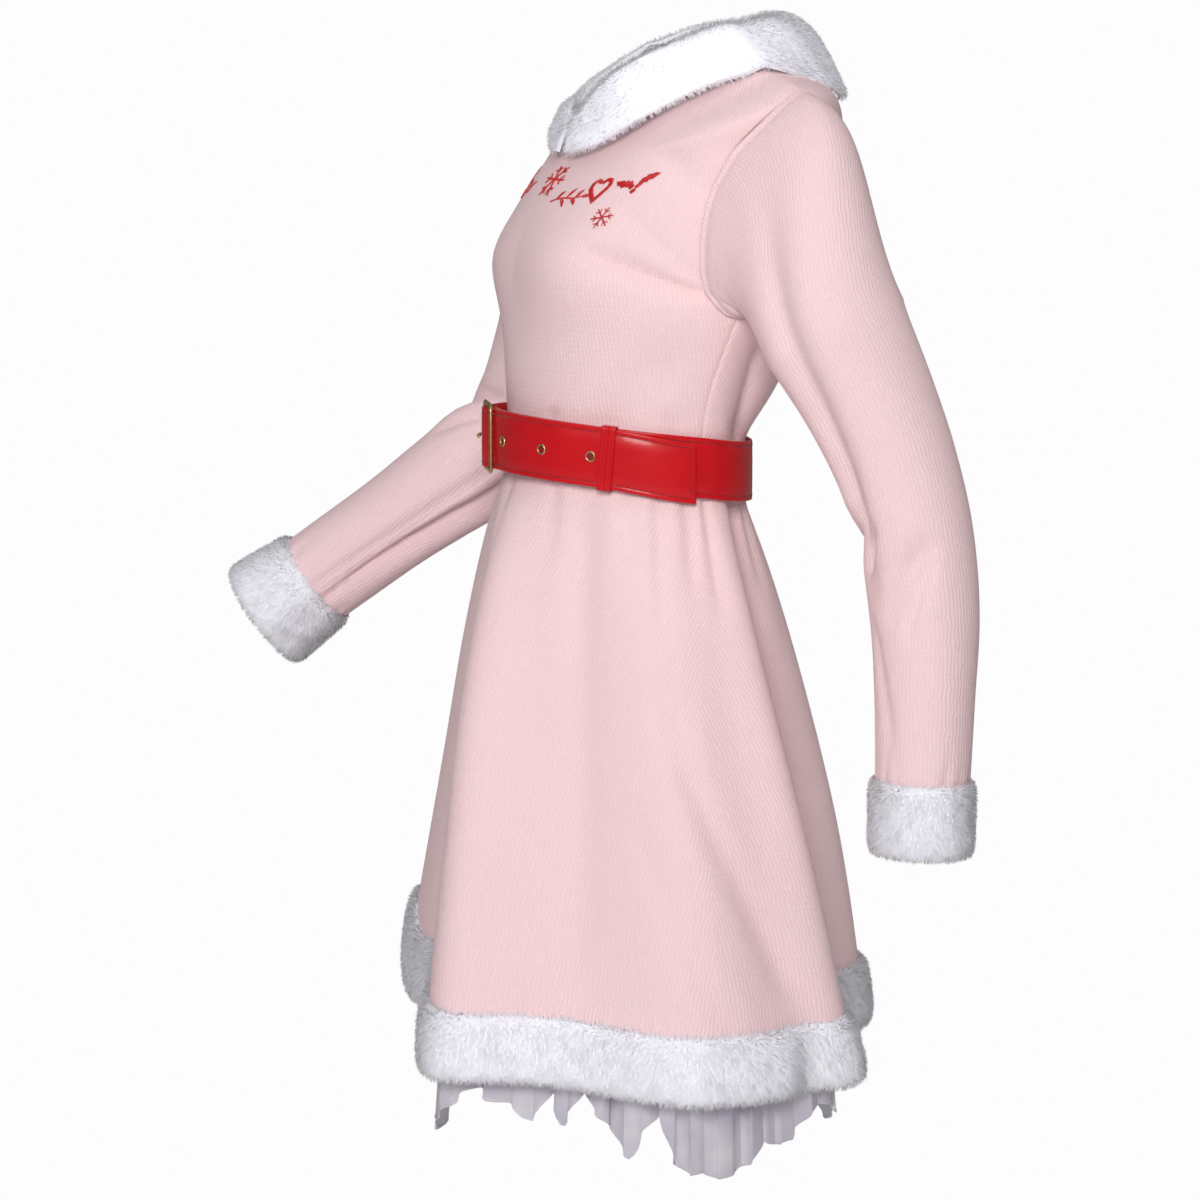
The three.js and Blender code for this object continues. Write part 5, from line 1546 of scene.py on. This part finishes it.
def on_bodice(motif, flat, lift):
    """Places flat points, in millimetres, on the bodice round the motif's place."""
    angle, row = np.array(float(motif.angle)), np.array(motif.row)
    per_degree = np.linalg.norm(bodice_point(angle + 1, row) - bodice_point(angle - 1, row)) / 2
    per_row = np.linalg.norm(bodice_point(angle, row + 0.1) - bodice_point(angle, row - 0.1)) / 0.2
    degrees, rows = angle + flat[:, 0] / per_degree, row + flat[:, 1] / per_row
    outs = skin_normals(bodice_skin, degrees, rows, 1)
    return bodice_skin(degrees, rows) + outs * lift, outs


def build_embroidery(context):
    pitch = context.scene.costume_sizes.embroidery_pitch
    rng = np.random.default_rng(41)
    starts, ends, outs = [], [], []
    for motif in MOTIFS:
        for path, widths in MOTIF_SHAPES[motif.name]():
            path = turned(path, motif.turn, motif.size)
            length = np.linalg.norm(np.diff(path, axis=0), axis=1).sum()
            count = max(3, int(length / pitch))
            line = arc_spaced(path, count, False)
            along = unit(np.gradient(line, axis=0))
            across = np.stack([-along[:, 1], along[:, 0]], -1)
            share = np.linspace(0, 1, count)
            half = np.interp(share, np.linspace(0, 1, len(widths)), widths)[:, None] * motif.size / 2
            half = half + rng.uniform(-0.1, 0.1, (count, 1))
            slant = along * 0.35 * half
            start, out = on_bodice(motif, line - across * half - slant, 0.15)
            end, _ = on_bodice(motif, line + across * half + slant, 0.15)
            starts.append(start)
            ends.append(end)
            outs.append(out)
    starts, ends, outs = (np.concatenate(parts) for parts in (starts, ends, outs))
    mesh = threads("embroidery", starts, ends, outs, pitch * 0.62, 0.45)
    place("embroidery", mesh, look(context, "thread"), "belt_red")


# Stage


Light = namedtuple("Light", "name azimuth elevation distance size power colour")
LIGHTS = (
    Light("key", 64, 23, 3.8, 1.3, 94, (1.0, 0.985, 0.97)),
    Light("fill", 20, 20, 4.0, 2.0, 9, (0.97, 0.98, 1.0)),
    Light("top", 70, 76, 3.2, 1.6, 12, (1.0, 1.0, 1.0)),
    Light("back", 190, 30, 3.6, 2.0, 12, (1.0, 1.0, 1.0)),
)
LIT_PLACE = (0.03, -0.1, -0.35)
FLOOR_HALF, FLOOR_Z = 90000, -1420
CAMERA_AZIMUTH, CAMERA_ELEVATION, CAMERA_DISTANCE = 70, 8.5, 4.0
CAMERA_LENS, CAMERA_SENSOR, CAMERA_SEES = 146.3, 36, 1000
CAMERA_TARGET = (0.0299, -0.0964, -0.4087)


def build_floor(context):
    """A plain pale floor, which the camera sees evenly lit."""
    corners = [(x * FLOOR_HALF, y * FLOOR_HALF, FLOOR_Z) for x, y in ((-1, -1), (1, -1), (1, 1), (-1, 1))]
    mesh = mesh_from("floor", corners, [[0, 1, 2, 3]])
    floor = bpy.data.objects.new("floor", mesh)
    context.scene.collection.objects.link(floor)
    pale = bpy.data.materials.new("floor")
    pale.use_nodes = True
    tree = pale.node_tree
    shader_of(tree, Base_Color=(0.85, 0.85, 0.85, 1), Roughness=1.0)
    seen = add_node(tree, "ShaderNodeEmission", Color=(0.98, 0.98, 0.98, 1), Strength=1.0)
    camera_ray = tree.nodes.new("ShaderNodeLightPath").outputs["Is Camera Ray"]
    surface_between(tree, camera_ray, tree.nodes["Principled BSDF"].outputs[0], seen)
    mesh.materials.append(pale)


def build_world(context):
    """Even studio light, which the camera sees as white."""
    world = bpy.data.worlds.new("studio")
    world.use_nodes = True
    tree = world.node_tree
    background = tree.nodes["Background"].inputs
    background["Color"].default_value = (1, 1, 1, 1)
    camera_ray = tree.nodes.new("ShaderNodeLightPath").outputs["Is Camera Ray"]
    ambient = context.scene.costume_sizes.ambient
    link(tree, range_of(tree, camera_ray, 0.0, 1.0, ambient, 0.98), background["Strength"])
    context.scene.world = world


def aim(context, name, data, target, azimuth, elevation, distance):
    """Puts a light or a camera on one side of the target and turns it to it."""
    a, e = math.radians(azimuth), math.radians(elevation)
    way = Vector((math.cos(e) * math.sin(a), -math.cos(e) * math.cos(a), math.sin(e)))
    piece = bpy.data.objects.new(name, data)
    piece.location = Vector(target) + way * distance
    piece.rotation_euler = way.to_track_quat("Z", "Y").to_euler()
    context.scene.collection.objects.link(piece)
    return piece


def build_stage(context):
    build_floor(context)
    build_world(context)
    for light in LIGHTS:
        lamp = bpy.data.lights.new(light.name, "AREA")
        lamp.size, lamp.energy, lamp.color = light.size, light.power, light.colour
        aim(context, light.name, lamp, LIT_PLACE, light.azimuth, light.elevation, light.distance)
    lens = bpy.data.cameras.new("camera")
    lens.lens, lens.sensor_width, lens.clip_end = CAMERA_LENS, CAMERA_SENSOR, CAMERA_SEES
    camera = aim(context, "camera", lens, CAMERA_TARGET, CAMERA_AZIMUTH, CAMERA_ELEVATION, CAMERA_DISTANCE)
    context.scene.camera = camera
    context.scene.view_settings.view_transform = "Standard"


# Add-on


class CostumeSizes(bpy.types.PropertyGroup):
    """Sizes and counts that the operators read."""

    hem_pile: bpy.props.FloatProperty(
        name="Hem Pile", description="Length of the hem's pile in millimetres",
        default=6, min=1, max=20,
    )
    cuff_pile: bpy.props.FloatProperty(
        name="Cuff Pile", description="Length of the cuffs' pile in millimetres",
        default=5.5, min=1, max=20,
    )
    collar_pile: bpy.props.FloatProperty(
        name="Collar Pile", description="Length of the collar's pile in millimetres",
        default=5, min=1, max=20,
    )
    hair_width: bpy.props.FloatProperty(
        name="Hair Width", description="Width of one lock of the pile in millimetres",
        default=0.7, min=0.1, max=3,
    )
    hem_hairs: bpy.props.IntProperty(
        name="Hem Hairs", description="Locks of pile on each half of the hem",
        default=40000, min=10,
    )
    cuff_hairs: bpy.props.IntProperty(
        name="Cuff Hairs", description="Locks of pile on each cuff",
        default=19000, min=10,
    )
    collar_hairs: bpy.props.IntProperty(
        name="Collar Hairs", description="Locks of pile on the collar",
        default=40000, min=10,
    )
    ruffle_depth: bpy.props.FloatProperty(
        name="Ruffle Depth", description="Depth of the ruffle's waves at the hem in millimetres",
        default=3, min=0, max=15,
    )
    stitch_pitch: bpy.props.FloatProperty(
        name="Stitch Pitch", description="Distance between the belt's stitches in millimetres",
        default=3.4, min=1, max=10,
    )
    embroidery_pitch: bpy.props.FloatProperty(
        name="Embroidery Pitch", description="Distance between the threads of the embroidery in millimetres",
        default=0.6, min=0.2, max=2,
    )
    ambient: bpy.props.FloatProperty(
        name="Ambient", description="Strength of the even studio light",
        default=0.17, min=0, max=2,
    )


class CostumeColours(bpy.types.PropertyGroup):
    """Base colours of the materials."""

    fleece: bpy.props.FloatVectorProperty(
        name="Fleece", description="Pale pink fleece",
        subtype="COLOR", default=(0.97, 0.76, 0.78),
    )
    fur: bpy.props.FloatVectorProperty(
        name="Fur", description="White pile",
        subtype="COLOR", default=(0.9, 0.9, 0.94),
    )
    pile: bpy.props.FloatVectorProperty(
        name="Pile", description="White hairs of the fur",
        subtype="COLOR", default=(0.935, 0.93, 0.955),
    )
    satin: bpy.props.FloatVectorProperty(
        name="Satin", description="White satin",
        subtype="COLOR", default=(0.95, 0.93, 0.965),
    )
    belt: bpy.props.FloatVectorProperty(
        name="Belt", description="Glossy red",
        subtype="COLOR", default=(0.62, 0.006, 0.012),
    )
    thread: bpy.props.FloatVectorProperty(
        name="Thread", description="Red embroidery",
        subtype="COLOR", default=(0.68, 0.012, 0.015),
    )
    # The stitches' dark red thread, and the painted shade in the eyelets' holes.
    hole: bpy.props.FloatVectorProperty(
        name="Dark Red", description="Stitches and eyelet holes",
        subtype="COLOR", default=(0.27, 0.004, 0.008),
    )
    brass: bpy.props.FloatVectorProperty(
        name="Brass", description="Antique brass",
        subtype="COLOR", default=(0.64, 0.47, 0.22),
    )


class COSTUME_OT_stage(bpy.types.Operator):
    """Add the floor, the lights and the camera"""

    bl_idname = "costume.stage"
    bl_label = "Stage"

    def execute(self, context):
        build_stage(context)
        return {"FINISHED"}


class COSTUME_OT_bodice(bpy.types.Operator):
    """Build the front and back of the bodice"""

    bl_idname = "costume.bodice"
    bl_label = "Bodice"

    def execute(self, context):
        build_bodice(context)
        return {"FINISHED"}


class COSTUME_OT_skirt(bpy.types.Operator):
    """Build the front and back of the skirt"""

    bl_idname = "costume.skirt"
    bl_label = "Skirt"

    def execute(self, context):
        build_skirt(context)
        return {"FINISHED"}


class COSTUME_OT_sleeves(bpy.types.Operator):
    """Build the sleeves"""

    bl_idname = "costume.sleeves"
    bl_label = "Sleeves"

    def execute(self, context):
        build_sleeves(context)
        return {"FINISHED"}


class COSTUME_OT_fur(bpy.types.Operator):
    """Build the fur of the hem, the cuffs and the collar"""

    bl_idname = "costume.fur"
    bl_label = "Fur Trim"

    def execute(self, context):
        build_fur_hem(context)
        build_cuffs(context)
        build_collar(context)
        return {"FINISHED"}


class COSTUME_OT_petticoat(bpy.types.Operator):
    """Build the petticoat and its ruffle"""

    bl_idname = "costume.petticoat"
    bl_label = "Petticoat"

    def execute(self, context):
        build_petticoat_top(context)
        build_ruffle(context)
        return {"FINISHED"}


class COSTUME_OT_belt(bpy.types.Operator):
    """Build the belt, its keeper, buckle and eyelets"""

    bl_idname = "costume.belt"
    bl_label = "Belt"

    def execute(self, context):
        build_strap(context)
        build_stitches(context)
        build_keeper(context)
        build_buckle(context)
        build_eyelets(context)
        return {"FINISHED"}


class COSTUME_OT_embroidery(bpy.types.Operator):
    """Build the embroidery on the chest"""

    bl_idname = "costume.embroidery"
    bl_label = "Embroidery"

    def execute(self, context):
        build_embroidery(context)
        return {"FINISHED"}


OPERATORS = (
    COSTUME_OT_stage,
    COSTUME_OT_bodice,
    COSTUME_OT_skirt,
    COSTUME_OT_sleeves,
    COSTUME_OT_fur,
    COSTUME_OT_petticoat,
    COSTUME_OT_belt,
    COSTUME_OT_embroidery,
)


class COSTUME_PT_panel(bpy.types.Panel):
    """Sizes, colours and the build steps"""

    bl_label = "Elf Costume"
    bl_space_type = "VIEW_3D"
    bl_region_type = "UI"
    bl_category = "Costume"

    def draw(self, context):
        for group in (context.scene.costume_sizes, context.scene.costume_colours):
            box = self.layout.box()
            for name in group.__annotations__:
                box.prop(group, name)
        for operator in OPERATORS:
            self.layout.operator(operator.bl_idname)


CLASSES = (CostumeSizes, CostumeColours, *OPERATORS, COSTUME_PT_panel)


def register():
    for each in CLASSES:
        bpy.utils.register_class(each)
    bpy.types.Scene.costume_sizes = bpy.props.PointerProperty(type=CostumeSizes)
    bpy.types.Scene.costume_colours = bpy.props.PointerProperty(type=CostumeColours)


def unregister():
    del bpy.types.Scene.costume_colours
    del bpy.types.Scene.costume_sizes
    for each in reversed(CLASSES):
        bpy.utils.unregister_class(each)


def main():
    register()
    bpy.ops.costume.stage()
    bpy.ops.costume.bodice()
    bpy.ops.costume.skirt()
    bpy.ops.costume.sleeves()
    bpy.ops.costume.fur()
    bpy.ops.costume.petticoat()
    bpy.ops.costume.belt()
    bpy.ops.costume.embroidery()


if __name__ == "__main__":
    main()
